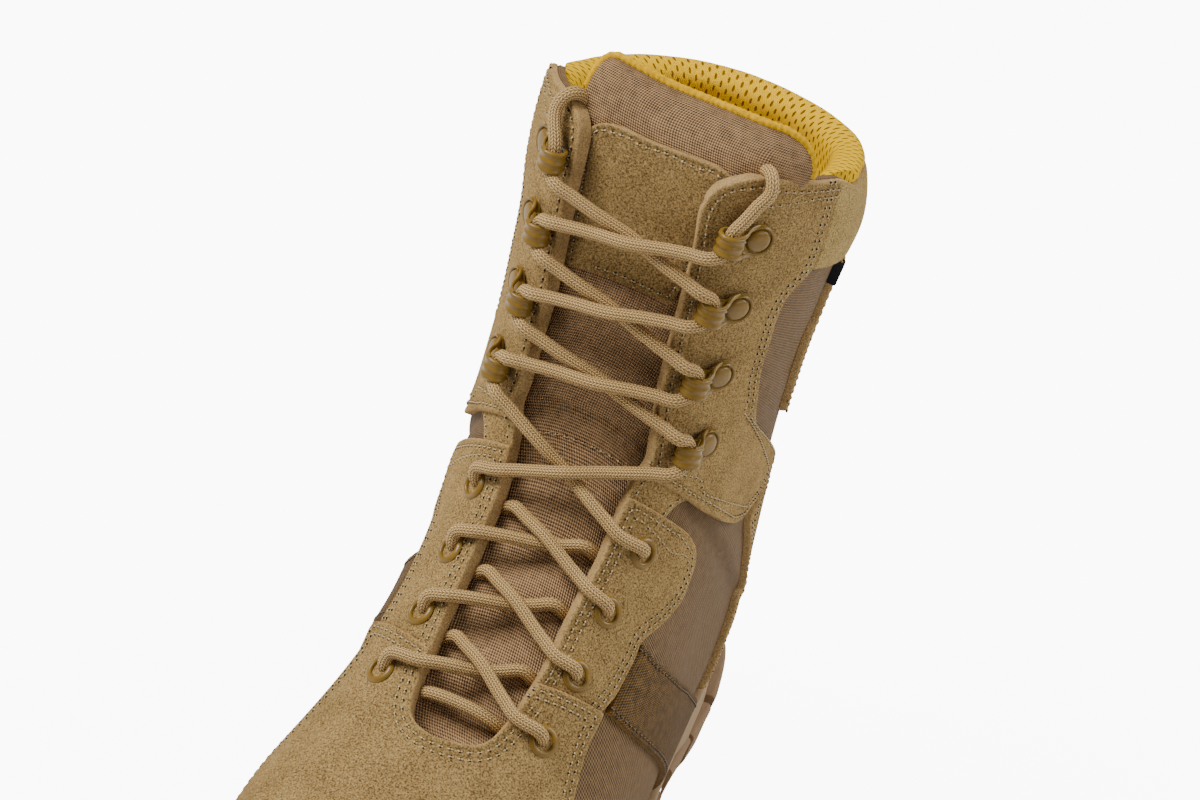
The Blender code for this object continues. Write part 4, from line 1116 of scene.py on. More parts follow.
def throatSeam(topRow, inset):
    # The throat's U, moved out over the skin by the inset.
    rows = throatCurve[:, 0]
    up = throatCurve[rows < topRow]
    line = np.vstack([up[::-1, [0, 1]], up[1:, [0, 2]]])[::3]
    row, side = line.T
    along = np.gradient(lastPoint(row, side), axis=0)
    outward = np.cross(along, lastNormal(row, side))
    outward *= inset / np.linalg.norm(outward, axis=1, keepdims=True)
    perRow = (lastPoint(row + 0.01, side) - lastPoint(row - 0.01, side)) / 0.02
    perSide = (lastPoint(row, side + 0.002) - lastPoint(row, side - 0.002)) / 0.004
    steps = zip(perRow, perSide, outward)
    moved = [np.linalg.lstsq(np.stack([a, b], 1), c, rcond=None)[0] for a, b, c in steps]
    return smoothed(line + np.array(moved), 12)


def suedePanel(name, grids, node, high=overlay["high"], low=overlay["low"]):
    item = shell(name, grids, low, high, suede, overlay["rim"], overlay["insets"])
    return dress(item, "suede", node)


# A thin suede strip under the flaps' edges, seen between hook facing and eyestay.
underlay = {"rows": (11.8, 12.3, 12.8, 13.3, 13.8), "lateral": 0.285, "medial": -0.255, "high": 1.2}


def makeUnderlays(size):
    for label, side in bothSides:
        outer = [(row, size[label]) for row in size["rows"]]
        grid = fineGrid(throatLine(size["rows"], side), outer)
        item = shell(f"underlay_{label}", [grid], throatLow, size["high"], suede, 0.6)
        dress(item, "suede")
        sew(grid, ("outer",), size["high"] + overlay["sunk"], (1.6,))
        sew(grid, ("inner",), size["high"] + overlay["sunk"], (2.4,))


vamp = {
    "toeRows": (0.05, 0.35, 1.0, 2.0, 3.0, 3.9, 4.7),
    "throatRows": (5.4, 6.0, 6.3, 6.52, 6.6, 6.85, 7.3),
    "topRow": {-1: 7.58, 1: 7.80},
    "top": {-1: (8.20, -0.412), 1: (8.20, 0.377)},
    "flank": {
        -1: ((5.36, -0.91), (5.80, -0.72), (6.20, -0.585), (6.50, -0.525), (6.75, -0.492), (7.20, -0.450),
             (7.72, -0.424)),
        1: ((5.30, 0.91), (5.80, 0.71), (6.20, 0.560), (6.50, 0.500), (6.75, 0.465), (7.15, 0.425),
            (7.70, 0.392)),
    },
    "lastSpan": 11.0,
    "throatShare": {-1: 0.32, 1: 0.51},
    "hemRise": 2.2,
    "overlap": 1.4,
    "overlapRun": (8.5, 6.0),
    "throatInsets": (2.4, 4.6),
    "throatSeamTop": 7.46,
}


def bySide(side, pair):
    return np.where(side < 0, pair[-1], pair[1])


def belowVampEnd(row, side):
    # Distance, in millimetres, below the vamp's upper end.
    start, throat = bySide(side, vamp["topRow"]), bySide(side, vamp["throatShare"])
    endRow, endSide = (bySide(side, {way: vamp["top"][way][n] for way in (-1, 1)}) for n in (0, 1))
    topRow = start + (endRow - start) * np.clip((side / endSide - throat) / (1 - throat), 0, 1)
    return (topRow - row) * last["rowStep"]


def overEyestay(row, side):
    start, fade = vamp["overlapRun"]
    return vamp["overlap"] * np.clip((start - belowVampEnd(row, side)) / fade, 0, 1)


def throatLow(row, side):
    # At the throat the suede covers the whole thickness of the flap.
    atThroat = (np.abs(side) < throatReach(row, side) + 0.009) & (row > throatRows[0, 0] - 0.02)
    return np.where(atThroat, -last["wall"] - 0.1, overlay["low"])


def throatLine(rows, side):
    return [(row, float(throatEdge(row, side)) * 0.98) for row in rows]


def makeVamp(size):
    grids = []
    for side in (-1, 1):
        inner = [(row, 0.0) for row in size["toeRows"]]
        inner += [(row, float(throatEdge(row, side))) for row in size["throatRows"]]
        inner.append((size["topRow"][side], float(throatEdge(size["topRow"][side], side))))
        outer = [(row, side * hem(row, size["hemRise"])) for row in size["toeRows"]]
        outer += list(size["flank"][side]) + [size["top"][side]]
        count = len(inner) - 1
        ends = np.append(0.2, seamSteps[2:]) / size["lastSpan"]
        rows = np.concatenate([np.linspace(0, count - ends[-1], 150), count - ends[-2::-1], [count]])
        straight = readAt(rows, range(count + 1), np.array(inner))
        outerLine = catmull(np.array(outer), rows)
        inThroat = straight[:, 0] >= throatRows[0, 0]
        straight[:, 1] = np.where(inThroat, 0.98 * throatEdge(straight[:, 0], side), 0.0)
        widths = np.linalg.norm(lastPoint(*straight.T) - lastPoint(*outerLine.T), axis=-1)
        k = np.stack([packed(56, max(width * 1.15, 3.0), seamSteps) for width in widths])
        grids.append(straight[:, None] + (outerLine - straight)[:, None] * k[..., None])

    def high(row, side):
        return overlay["high"] + overEyestay(row, side)

    def low(row, side):
        return throatLow(row, side) + overEyestay(row, side)

    suedePanel("vampSuede", grids, "vamp", high, low)
    for grid in grids:
        sew(grid, ("last", "outer"), high, spans={"outer": (0.0, 0.47)})
    for inset in size["throatInsets"]:
        sewLine(throatSeam(size["throatSeamTop"], inset), high)


eyestays = {
    "innerRows": (7.30, 8.0, 8.5, 9.0, 9.6, 10.4, 11.1, 11.7, 12.05, 12.27),
    "outer": {
        "lateral": ((7.95, 0.378), (8.21, 0.380), (8.60, 0.398), (9.22, 0.400), (9.60, 0.393), (10.28, 0.433),
                    (11.05, 0.463), (11.85, 0.453), (12.32, 0.418), (12.52, 0.365)),
        "medial": ((7.95, -0.420), (8.36, -0.406), (8.83, -0.405), (9.30, -0.408), (9.85, -0.406),
                   (10.30, -0.418), (10.90, -0.465), (11.75, -0.478), (12.32, -0.440), (12.54, -0.400)),
    },
}


def makeEyestays(size):
    for label, side in bothSides:
        inner = throatLine(size["innerRows"], side)
        grid = fineGrid(inner, size["outer"][label])

        def high(row, side):
            return overlay["high"] - np.clip(belowVampEnd(row, side) / 1.5 + 0.6, 0, 1)

        name = f"eyestay_{label}"
        suedePanel(f"{name}Suede", [grid], name, high, throatLow)
        spans = {"inner": (0.13 if side > 0 else 0.09, 1.0), "outer": (0.0, 0.92)}
        sew(grid, ("inner", "last", "outer"), overlay["high"], spans=spans)


facing = {
    "innerRows": (13.25, 13.5, 13.9, 14.4, 14.9, 15.4, 15.8, 16.1, 16.35, 16.6, 17.1, 17.6, 18.1, 18.7,
                  19.15, 19.45, 19.8, 20.6, 21.2, 21.6, 21.9, 22.1, 22.18),
    "edge": ((13.58, 0.325), (13.88, 0.370), (14.30, 0.423), (14.80, 0.470), (15.30, 0.502), (15.80, 0.545),
             (16.15, 0.598), (16.38, 0.612), (16.44, 0.500), (16.57, 0.412), (17.23, 0.380), (17.68, 0.367),
             (18.15, 0.363), (18.70, 0.353), (19.15, 0.354), (19.45, 0.370), (19.80, 0.392), (20.60, 0.390),
             (21.20, 0.389), (21.55, 0.388), (21.85, 0.387), (22.05, 0.386), (22.18, 0.386)),
}


def makeFacings(size):
    for label, side in bothSides:
        inner = throatLine(size["innerRows"], side)
        outer = size["edge"] if side > 0 else mirrored(size["edge"])
        grid = fineGrid(inner, outer)
        name = f"hook_facing_{label}"
        suedePanel(f"{name}Suede", [grid], name, low=throatLow)
        sew(grid, ("outer", "first"), overlay["high"])
        sew(grid, ("inner", "last"), overlay["high"], (2.6,))
        sew(grid, ("last",), overlay["high"], (4.8,), {"last": (0.3, 0.97)})


backPieces = {
    "cuffRows": (19.75, 20.3, 20.9, 21.5, 22.18),
    "cuffEdge": (0.400, 0.396, 0.394, 0.392, 0.390),
    "cuffPuff": 1.1,
    "stayRows": (17.15, 17.75, 18.15, 18.38, 18.58, 18.80, 19.20, 19.66),
    "stayEdge": (0.556, 0.552, 0.545, 0.540, 0.556, 0.570, 0.573, 0.570),
    "counterEdge": ((11.41, 0.893), (11.98, 0.809), (12.70, 0.714), (13.77, 0.594), (14.44, 0.563),
                    (14.73, 0.540), (14.87, 0.519), (14.98, 0.509), (15.21, 0.516), (15.57, 0.543),
                    (15.94, 0.587), (16.24, 0.633), (16.42, 0.679)),
    "counterRows": (11.60, 12.20, 12.90, 13.70, 14.20, 14.55, 14.80, 15.05, 15.30, 15.62, 16.00, 16.30,
                    16.45),
    "hemRise": 2.4,
}


def roundTheBack(edge, backRows):
    back = [(row, 1.0) for row in backRows]
    return [fineGrid(edge, back), fineGrid(mirrored(edge), mirrored(back))]


def makeBackPieces(size):
    rows = size["cuffRows"]
    grids = [collarTrim(grid) for grid in roundTheBack(list(zip(rows, size["cuffEdge"])), rows)]

    def cuffTop(row, side):
        share = np.clip((row - rows[0]) / (rows[-1] - collarDrop(side) - rows[0]), 0, 1)
        front = np.clip((np.abs(side) - size["cuffEdge"][0]) / 0.06, 0, 1)
        return overlay["high"] - 0.3 + size["cuffPuff"] * np.sin(math.pi * share) ** 0.7 * front

    item = shell("collarCuffSuede", grids, overlay["low"], cuffTop, cuffSuede, 1.3)
    dress(item, "suede", "collar_cuff")
    rows = size["stayRows"]
    grids = roundTheBack(list(zip(rows, size["stayEdge"])), rows)
    suedePanel("backStaySuede", grids, "back_stay")
    for grid in grids:
        sew(grid, ("inner",), overlay["high"])
        sew(grid, ("first",), overlay["high"], (2.2,))
    grids = []
    for side in (1, -1):
        edge = size["counterEdge"] if side > 0 else mirrored(size["counterEdge"])
        low = []
        for row in size["counterRows"]:
            low.append((row, side * (hem(row, size["hemRise"]) if row <= last["heelRow"] else 1.0)))
        grids.append(fineGrid(edge, low))
    suedePanel("heelCounterSuede", grids, "heel_counter")
    for grid in grids:
        sew(grid, ("inner", "last"), overlay["high"], spans={"inner": (0.05, 1.0)})


webbing = {
    "top": ((9.58, 0.402), (9.70, 0.480), (10.14, 0.620), (10.66, 0.735), (11.05, 0.850)),
    "bottom": ((8.33, 0.405), (8.50, 0.500), (8.80, 0.608), (9.14, 0.706), (9.52, 0.815)),
    "ends": (11.35, 9.80),
    "hemRise": 2.4,
    "high": 2.1,
    "inset": 1.7,
}


def makeWebbing(size):
    for label, side in bothSides:
        edges = []
        for edge, end in zip((size["top"], size["bottom"]), size["ends"]):
            edge = list(edge) + [(end, hem(end, size["hemRise"]))]
            edges.append(edge if side > 0 else mirrored(edge))
        grid = fineGrid(*edges, 1.5)
        name = f"webbing_{label}"
        insets = (size["inset"],)
        item = shell(f"{name}Strap", [grid], overlay["low"], size["high"], webbingCloth, 0.7, insets)
        dress(item, "webbing", name)
        for edge in ("inner", "outer"):
            sew(grid, (edge,), size["high"], insets, tone="dark")


tag = {
    "top": ((19.64, 0.545), (19.64, 0.600)),
    "bottom": ((19.28, 0.556), (19.28, 0.588)),
    "high": 3.0,
}


def makeTag(size):
    grid = fineGrid(size["top"], size["bottom"], 1.0, plainSteps)
    item = shell("sideTagTape", [grid], overlay["low"], size["high"], tagTape, 0.4)
    dress(item, "tag_cloth", "side_tag")


makeUnderlays(underlay)
makeVamp(vamp)
makeEyestays(eyestays)
makeFacings(facing)
makeBackPieces(backPieces)
makeWebbing(webbing)
makeTag(tag)
print("overlays made")


# Tongue: padded nylon, sunk between the flaps, flat across its top, with a sewn patch and a bound edge.
tongue = {
    "under": 2.8,
    "dip": 3.0,
    "past": 0.02,
    "thick": 5.5,
    "flatFrom": 19.6,
    "flatAt": 23.0,
    "rows": (6.25, 6.7, 7.4, 8.5, 9.8, 11.2, 12.6, 14.0, 15.6, 17.2, 18.8, 20.4, 21.8, 22.6, 23.1, 23.45,
             23.65, 23.76),
    # row, half height in rows, depth: folds that the lace pulls into the padding
    "folds": ((7.15, 0.30, -1.4), (7.75, 0.26, 1.2), (8.25, 0.28, -1.5), (8.95, 0.30, 1.3),
              (9.6, 0.32, -1.2), (10.6, 0.50, 1.0), (11.7, 0.40, -1.0), (13.9, 0.18, -1.2),
              (15.2, 0.80, 0.9), (17.3, 0.80, 0.8)),
    "patchLeft": ((17.94, -0.140), (18.0, -0.152), (18.3, -0.157), (19.2, -0.162), (20.4, -0.168),
                  (21.2, -0.172), (21.55, -0.166), (21.82, -0.148), (22.0, -0.120), (22.06, -0.090)),
    "patchRight": ((17.94, 0.112), (18.0, 0.122), (18.3, 0.126), (19.2, 0.140), (20.4, 0.156), (21.2, 0.168),
                   (21.6, 0.170), (21.88, 0.162), (22.08, 0.140), (22.14, 0.110)),
    "patchHigh": 1.6,
    # the top widens at its lateral end, curls back at both ends and is highest at the medial one
    "flare": 0.3,
    "flareFrom": 22.0,
    "flareRows": (22.1, 22.9),
    "middleX": -2.0,
    "curlFrom": 20.0,
    "curlBack": 0.022,
    "curlDown": 0.010,
    "slope": 2.4,
    "slopeSpan": (-31.0, -6.0),
    # folds and cross seam fall toward the medial side, in rows per unit of side
    "slant": 0.9,
    "seamRow": 12.9,
    "binding": 1.25,
}
# columns: row, medial edge, lateral edge
tongueRows = np.array([
    (6.25, -0.10, 0.12),
    (6.70, -0.16, 0.19),
    (7.50, -0.20, 0.25),
    (9.00, -0.23, 0.28),
    (12.00, -0.24, 0.29),
    (15.00, -0.23, 0.30),
    (18.00, -0.22, 0.33),
    (21.00, -0.225, 0.375),
    (22.40, -0.252, 0.400),
    (22.90, -0.256, 0.397),
    (23.30, -0.254, 0.380),
    (23.55, -0.246, 0.350),
    (23.68, -0.234, 0.312),
    (23.76, -0.214, 0.270),
])


def tongueEdge(row, side):
    return np.interp(row, tongueRows[:, 0], tongueRows[:, 1 if side < 0 else 2])


def tongueTop(row, side):
    reach = throatReach(row, side) + tongue["past"]
    between = np.clip(1 - (side / reach) ** 2, 0, 1)
    top = -last["wall"] - tongue["under"] - tongue["dip"] * between
    for at, spread, depth in tongue["folds"]:
        away = (row - at - tongue["slant"] * side) / spread
        top = top + depth * np.exp(-away ** 2) * between
    return top


def tongueLow(row, side):
    left, right = tongueEdge(row, -1), tongueEdge(row, 1)
    place = (2 * side - left - right) / (right - left)
    full = tongue["thick"] * np.interp(row, (6.25, 9.0, 14.0, 23.0, 23.76), (0.35, 0.6, 1.0, 1.0, 0.6))
    return tongueTop(row, side) - full * (0.35 + 0.65 * np.sqrt(np.clip(1 - place ** 4, 0, 1)))


def tongueSpot(row, side, lift):
    # Above the flaps the tongue stands flat instead of wrapping round the leg.
    wrapped = lastPoint(row, side) + lastNormal(row, side) * lift[:, None]
    middle = np.zeros_like(row)
    depth = tongueTop(row, middle) + lift - tongueTop(row, side)
    flat = lastPoint(row, middle) + lastNormal(row, middle) * depth[:, None]
    wider = tongue["flare"] * np.maximum(wrapped[:, 0] - tongue["flareFrom"], 0)
    flat[:, 0] = wrapped[:, 0] + wider * smoothStep(*tongue["flareRows"], row)
    past = np.maximum(np.abs(flat[:, 0] - tongue["middleX"]) - tongue["curlFrom"], 0)
    flat[:, 1] += tongue["curlBack"] * past ** 2
    lower = tongue["slope"] * smoothStep(*tongue["slopeSpan"], flat[:, 0])
    flat[:, 2] -= tongue["curlDown"] * past ** 2 + lower
    share = smoothStep(tongue["flatFrom"], tongue["flatAt"], row)[:, None]
    return wrapped * (1 - share) + flat * share


def makeTongue(size):
    medial = [(row, float(tongueEdge(row, -1))) for row in size["rows"]]
    lateral = [(row, float(tongueEdge(row, 1))) for row in size["rows"]]
    grid = fineGrid(medial, lateral, 1.5, plainSteps)
    item = shell("tonguePad", [grid], tongueLow, tongueTop, tongueNylon, 2.6, (), liningMesh, tongueSpot)
    dress(item, "tongue_nylon", "tongue")
    patchGrid = fineGrid(size["patchLeft"], size["patchRight"], 1.4)

    def patchLow(row, side):
        return tongueTop(row, side) + 0.06

    def patchTop(row, side):
        return tongueTop(row, side) + size["patchHigh"]

    item = shell("tonguePatchSuede", [patchGrid], patchLow, patchTop, suede, 0.8, (2.2,), spot=tongueSpot)
    dress(item, "suede", "tongue_patch")
    sew(patchGrid, ("inner", "last", "outer", "first"), patchTop, (2.2,), spot=tongueSpot)
    sides = np.linspace(-0.11, 0.15, 80)
    rows = size["seamRow"] + size["slant"] * sides
    sewLine(np.stack([rows, sides], -1), lambda row, side: tongueTop(row, side) + 0.2, tongueSpot)
    rows = np.linspace(22.6, 23.76, 40)
    left, right = tongueEdge(rows, -1), tongueEdge(rows, 1)
    edgeRows = np.concatenate([rows, np.full(60, rows[-1]), rows[::-1]])
    edgeSides = np.concatenate([left, np.linspace(left[-1], right[-1], 62)[1:-1], right[::-1]])
    lifts = tongueTop(edgeRows, edgeSides) - 1.3
    line = smoothLine(tongueSpot(edgeRows, edgeSides, lifts)[::4], 0.5)
    item = tubeMesh("tongueBinding", [line], bindingYarn, size["binding"], 12, 6, 0.1, 0.09)
    dress(item, "mesh_lining")


# Collar roll: padded mesh that swells over the collar's top edge and down inside it.
collar = {
    # the roll's section as rows above the collar line and lift, from the wall over the top to its foot
    "section": ((-0.50, -2.55), (-0.24, -2.5), (-0.17, -1.5), (-0.17, -0.2), (-0.14, 1.0), (-0.02, 1.6),
                (0.10, 1.2), (0.19, -0.4), (0.22, -2.8), (0.18, -5.2), (0.04, -7.4), (-0.3, -8.8),
                (-0.9, -9.2), (-1.6, -8.6), (-2.2, -6.4), (-2.5, -3.6), (-2.5, -2.6), (-1.6, -2.55)),
    "lateral": 0.335,
    "medial": -0.27,
    "sink": 0.9,
    "reach": 0.10,
    "seat": 2.6,
    "lap": 6.0,
    "lapSpan": (0.42, 0.54),
    "around": 72,
}


def makeCollar(size):
    section = np.array(size["section"])
    ring = np.vstack([section[-1:], section, section[:2]])
    count = size["around"]
    loop = catmull(ring, 1 + np.linspace(0, len(section), count, endpoint=False))
    medial = np.linspace(-1.0, size["medial"], 100)[1:]
    sides = np.concatenate([np.linspace(size["lateral"], 1.0, 90), medial])
    ends = np.where(sides > 0, sides - size["lateral"], size["medial"] - sides)
    fade = np.clip(ends / size["reach"], 0, 1)
    drop = size["sink"] * (1 - np.sqrt(1 - (1 - fade) ** 2)) + collarDip(sides)
    rows = last["collarRow"] + loop[None, :, 0] - drop[:, None]
    side = np.repeat(sides[:, None], count, 1)
    puff = (0.3 + 0.7 * fade) * (1 + 0.04 * np.sin(sides * 37.0) * np.sin(sides * 11.0))
    lifts = (loop[None, :, 1] + size["seat"]) * puff[:, None] - size["seat"]
    # Beside the flaps the roll stays inside the wall; behind them it laps over the wall's top.
    lap = size["lap"] * smoothStep(*size["lapSpan"], np.abs(sides))
    lifts = np.minimum(lifts, -size["seat"] + lap[:, None])
    lifts = lifts + collarLean(rows, side)
    points = lastPoint(rows, side) + lastNormal(rows, side) * lifts[..., None]
    along = runAlong(points[:, 20])
    around = runAlong(points[45])
    around = np.append(around, around[-1] * count / (count - 1))
    marks = [(v, u) for u, v in wallMarks(along, around)] + [(0.0, 0.0)] * (2 * count)
    places = (points.reshape(-1, 3) * mm).tolist()
    mesh = meshOf("collarRoll", places, tubeFaces(len(sides), count), liningMesh, np.array(marks) * mm)
    item = facedOut("collarRoll", mesh, 70)
    dress(item, "mesh_lining", "collar_pad")


makeTongue(tongue)
makeCollar(collar)
print("tongue and collar made")


# Sole: dense rings round the feather line.
sole = {
    "feather": 36.9,
    "midsoleProud": 4.6,
    "midsoleLip": 1.5,
    "undercut": 0.36,
    "undercutFrom": (-10.0, 20.0),
    "undercutTo": (72.0, 96.0),
    # the tread narrows by these at taperHalf from its middle, more at the waist; spans are in y
    "treadTaper": 5.2,
    "waistTaper": 3.4,
    "taperHalf": 40.0,
    "taperFrom": (-10.0, 25.0),
    "heelFrom": (80.0, 104.0),
    "treadHigh": 17.0,
    "topShare": 0.7,
    "insoleInset": 3.4,
    "insoleThick": 4.0,
    "bevel": 0.9,
}
# Lugs round the heel: y of both ends, how proud each end stands, top height of each end.
sideLugs = (
    (79.0, 96.0, 4.7, 6.2, 24.5, 26.5),
    (97.5, 112.0, 6.8, 8.2, 26.5, 29.0),
    (113.5, 133.0, 8.4, 9.6, 29.0, 36.0),
)
# columns: distance forward of the heel, bottom of the midsole
soleRows = np.array([
    (-8.0, 17.0), (12.0, 16.0), (78.0, 16.0), (88.0, 18.0), (128.0, 17.0), (158.0, 12.5), (240.0, 11.0),
    (270.0, 15.0), (302.0, 27.0),
])


def soleOutline():
    rows = np.concatenate([np.linspace(0, 1.2, 14), np.linspace(1.3, 12.4, 90), np.linspace(12.5, 14.0, 24)])
    backF, backZ, _, _, mid, half = np.moveaxis(catmull(lastRows, rows), -1, 0)[:6]
    half = np.where(half < 1.0, 0.0, half)
    backZ = np.minimum(backZ, sole["feather"])
    lateral = np.stack([mid + half - last["centreX"], last["centreF"] - backF, backZ], -1)
    medial = np.stack([mid - half - last["centreX"], last["centreF"] - backF, backZ], -1)
    outline = np.vstack([lateral[half > 0], lateral[-1:], medial[half > 0][::-1]])
    run = runAlong(outline)
    even = readAt(np.linspace(0, run[-1], 420), run, outline)
    for _ in range(4):
        even = 0.5 * even + 0.25 * (np.roll(even, 1, 0) + np.roll(even, -1, 0))
    return even


def grown(outline, reach, heights):
    along = np.roll(outline, -3, axis=0)[:, :2] - np.roll(outline, 3, axis=0)[:, :2]
    normal = unit(np.stack([along[:, 1], -along[:, 0]], -1))
    reach = np.broadcast_to(reach, len(outline))[:, None]
    return np.column_stack([outline[:, :2] + normal * reach, np.broadcast_to(heights, len(outline))])


def ringMesh(name, rings, material):
    count = len(rings[0])
    faces = wallFaces(len(rings), count)
    for base in (0, (len(rings) - 1) * count):
        for n in range(count // 2 - 1):
            faces.append((base + n, base + n + 1, base + count - 2 - n, base + count - 1 - n))
    return facedOut(name, meshOf(name, (np.vstack(rings) * mm).tolist(), faces, material), 40)


def makeSideLugs(outline):
    points = []
    faces = []
    for side in (1, -1, 0):
        for startY, endY, startProud, endProud, startTop, endTop in sideLugs if side else sideLugs[-1:]:
            share = np.clip((outline[:, 1] - startY) / (endY - startY), 0, 1)
            inside = (outline[:, 0] * side > 0) & (outline[:, 1] > startY) & (outline[:, 1] < endY)
            if not side:
                inside = (outline[:, 1] > endY) & (np.abs(outline[:, 0] + last["centreX"]) < 15.0)
            proud = startProud + (endProud - startProud) * share
            top = startTop + (endTop - startTop) * share
            # reach and height round the lug's section, from its foot outward and over its top
            rings = [(2.6, 8.0), (2.8, 7.0), (proud - 1.7, 13.0), (proud - 0.5, top - 5.0),
                     (proud, top - 2.0), (proud - 0.4, top - 0.7), (proud - 1.4, top), (2.6, top)]
            section = np.stack([grown(outline, reach, height)[inside] for reach, height in rings], 1)
            count, around = section.shape[:2]
            for end in (0, count - 1):
                middle = section[end].mean(0)
                section[end] = middle + (section[end] - middle) * 0.93
            start = len(points)
            points += section.reshape(-1, 3).tolist()
            faces += wallFaces(count, around, start)
            for end in (0, count - 1):
                faces.append([start + end * around + n for n in range(around)])
    mesh = meshOf("sideLugs", (np.array(points) * mm).tolist(), faces, outsoleRubber)
    dress(facedOut("sideLugs", mesh, 40), "outsole_rubber")


def makeSole(size):
    outline = soleOutline()
    feather = outline[:, 2]
    proud = size["midsoleProud"]
    lip = feather + size["midsoleLip"]
    edge = grown(outline, proud - 0.4, feather)
    floor = np.interp(last["centreF"] - edge[:, 1], soleRows[:, 0], soleRows[:, 1]) + 0.15
    # Under the waist the wall leans in toward the ground.
    along = outline[:, 1]
    waist = smoothStep(*size["undercutFrom"], along) * (1 - smoothStep(*size["undercutTo"], along))
    lean = size["undercut"] * waist * (lip - floor)
    rings = [grown(outline, proud - 1.2 - lean, floor), grown(outline, proud - 0.3 - lean, floor + 0.6)]
    for share, bulge in ((0.2, 0.1), (0.4, 0.3), (0.6, 0.35), (0.8, 0.25)):
        rings.append(grown(outline, proud + bulge - lean * (1 - share), floor + (lip - 0.8 - floor) * share))
    makeSideLugs(outline)
    for reach, height in ((proud, lip - 0.8), (proud - 0.25, lip - 0.25), (proud - 0.8, lip), (2.2, lip),
                          (1.5, lip - 0.3), (1.4, feather - 0.6), (-3.0, feather - 0.6)):
        rings.append(grown(outline, reach, height))
    dress(ringMesh("midsoleBand", rings, midsoleFoam), "midsole_foam", "midsole")
    inset = -size["insoleInset"]
    top = feather + size["insoleThick"]
    steps = ((inset, feather + 0.3), (inset, top - 1.2), (inset - 0.5, top - 0.4), (inset - 1.4, top))
    rings = [grown(outline, reach, height) for reach, height in steps]
    item = dress(ringMesh("insoleFoot", rings, insoleFelt), "insole_foam", "insole")
    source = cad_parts["outsole"].data
    work = bmesh.new()
    work.from_mesh(source)
    bmesh.ops.remove_doubles(work, verts=work.verts, dist=0.00002)
    bmesh.ops.dissolve_limit(work, angle_limit=math.radians(2), verts=work.verts, edges=work.edges)
    # Waist and heel narrow toward the ground.
    for vert in work.verts:
        x, y, z = vert.co / mm
        height = min(max(z / size["treadHigh"], 0), 1)
        taper = size["treadTaper"] + size["waistTaper"] * (1 - float(smoothStep(*size["heelFrom"], y)))
        taper *= float(smoothStep(*size["taperFrom"], y)) * (1 - size["topShare"] * height)
        vert.co.x -= (x + last["centreX"]) * taper / size["taperHalf"] * mm
    mesh = bpy.data.meshes.new("outsoleTread")
    work.to_mesh(mesh)
    work.free()
    mesh.materials.clear()
    mesh.materials.append(outsoleRubber)
    item = putPiece("outsoleTread", mesh)
    bevel = item.modifiers.new("softEdge", "BEVEL")
    bevel.width = size["bevel"] * mm
    bevel.segments = 2
    bevel.limit_method = "ANGLE"
    bevel.angle_limit = math.radians(30)
    mesh.shade_smooth()
    mesh.set_sharp_from_angle(angle=math.radians(35))
    dress(item, "outsole_rubber", "outsole")


makeSole(sole)
print("sole made")


# Eyelets and hooks, turned or bent in their own frames.
turnedSides = 40
eyelet = {"bore": 2.8, "outside": 4.9, "seat": 2.3}
hook = {
    "seat": 2.45,
    "plate": 1.0,
    "disc": 5.0,
    "neck": 6.9,
    "reach": 12.9,
    "rivet": 3.7,
    "rivetX": -0.8,
    "roof": 8.4,
    "rib": 0.45,
    "flange": 2.2,
    "bandSides": 12,
    "bandThin": 0.55,
    "bandWide": 0.85,
}


def lathe(profile, sides, shift=0.0):
    turn = np.linspace(0, 2 * math.pi, sides, endpoint=False)
    points = [(r * math.cos(a) + shift, r * math.sin(a), h) for a in turn for r, h in profile]
    count = len(profile)
    faces = []
    for n in range(sides):
        here, there = n * count, (n + 1) % sides * count
        for m in range(count):
            after = (m + 1) % count
            faces.append((here + m, here + after, there + after, there + m))
    return np.array(points), faces


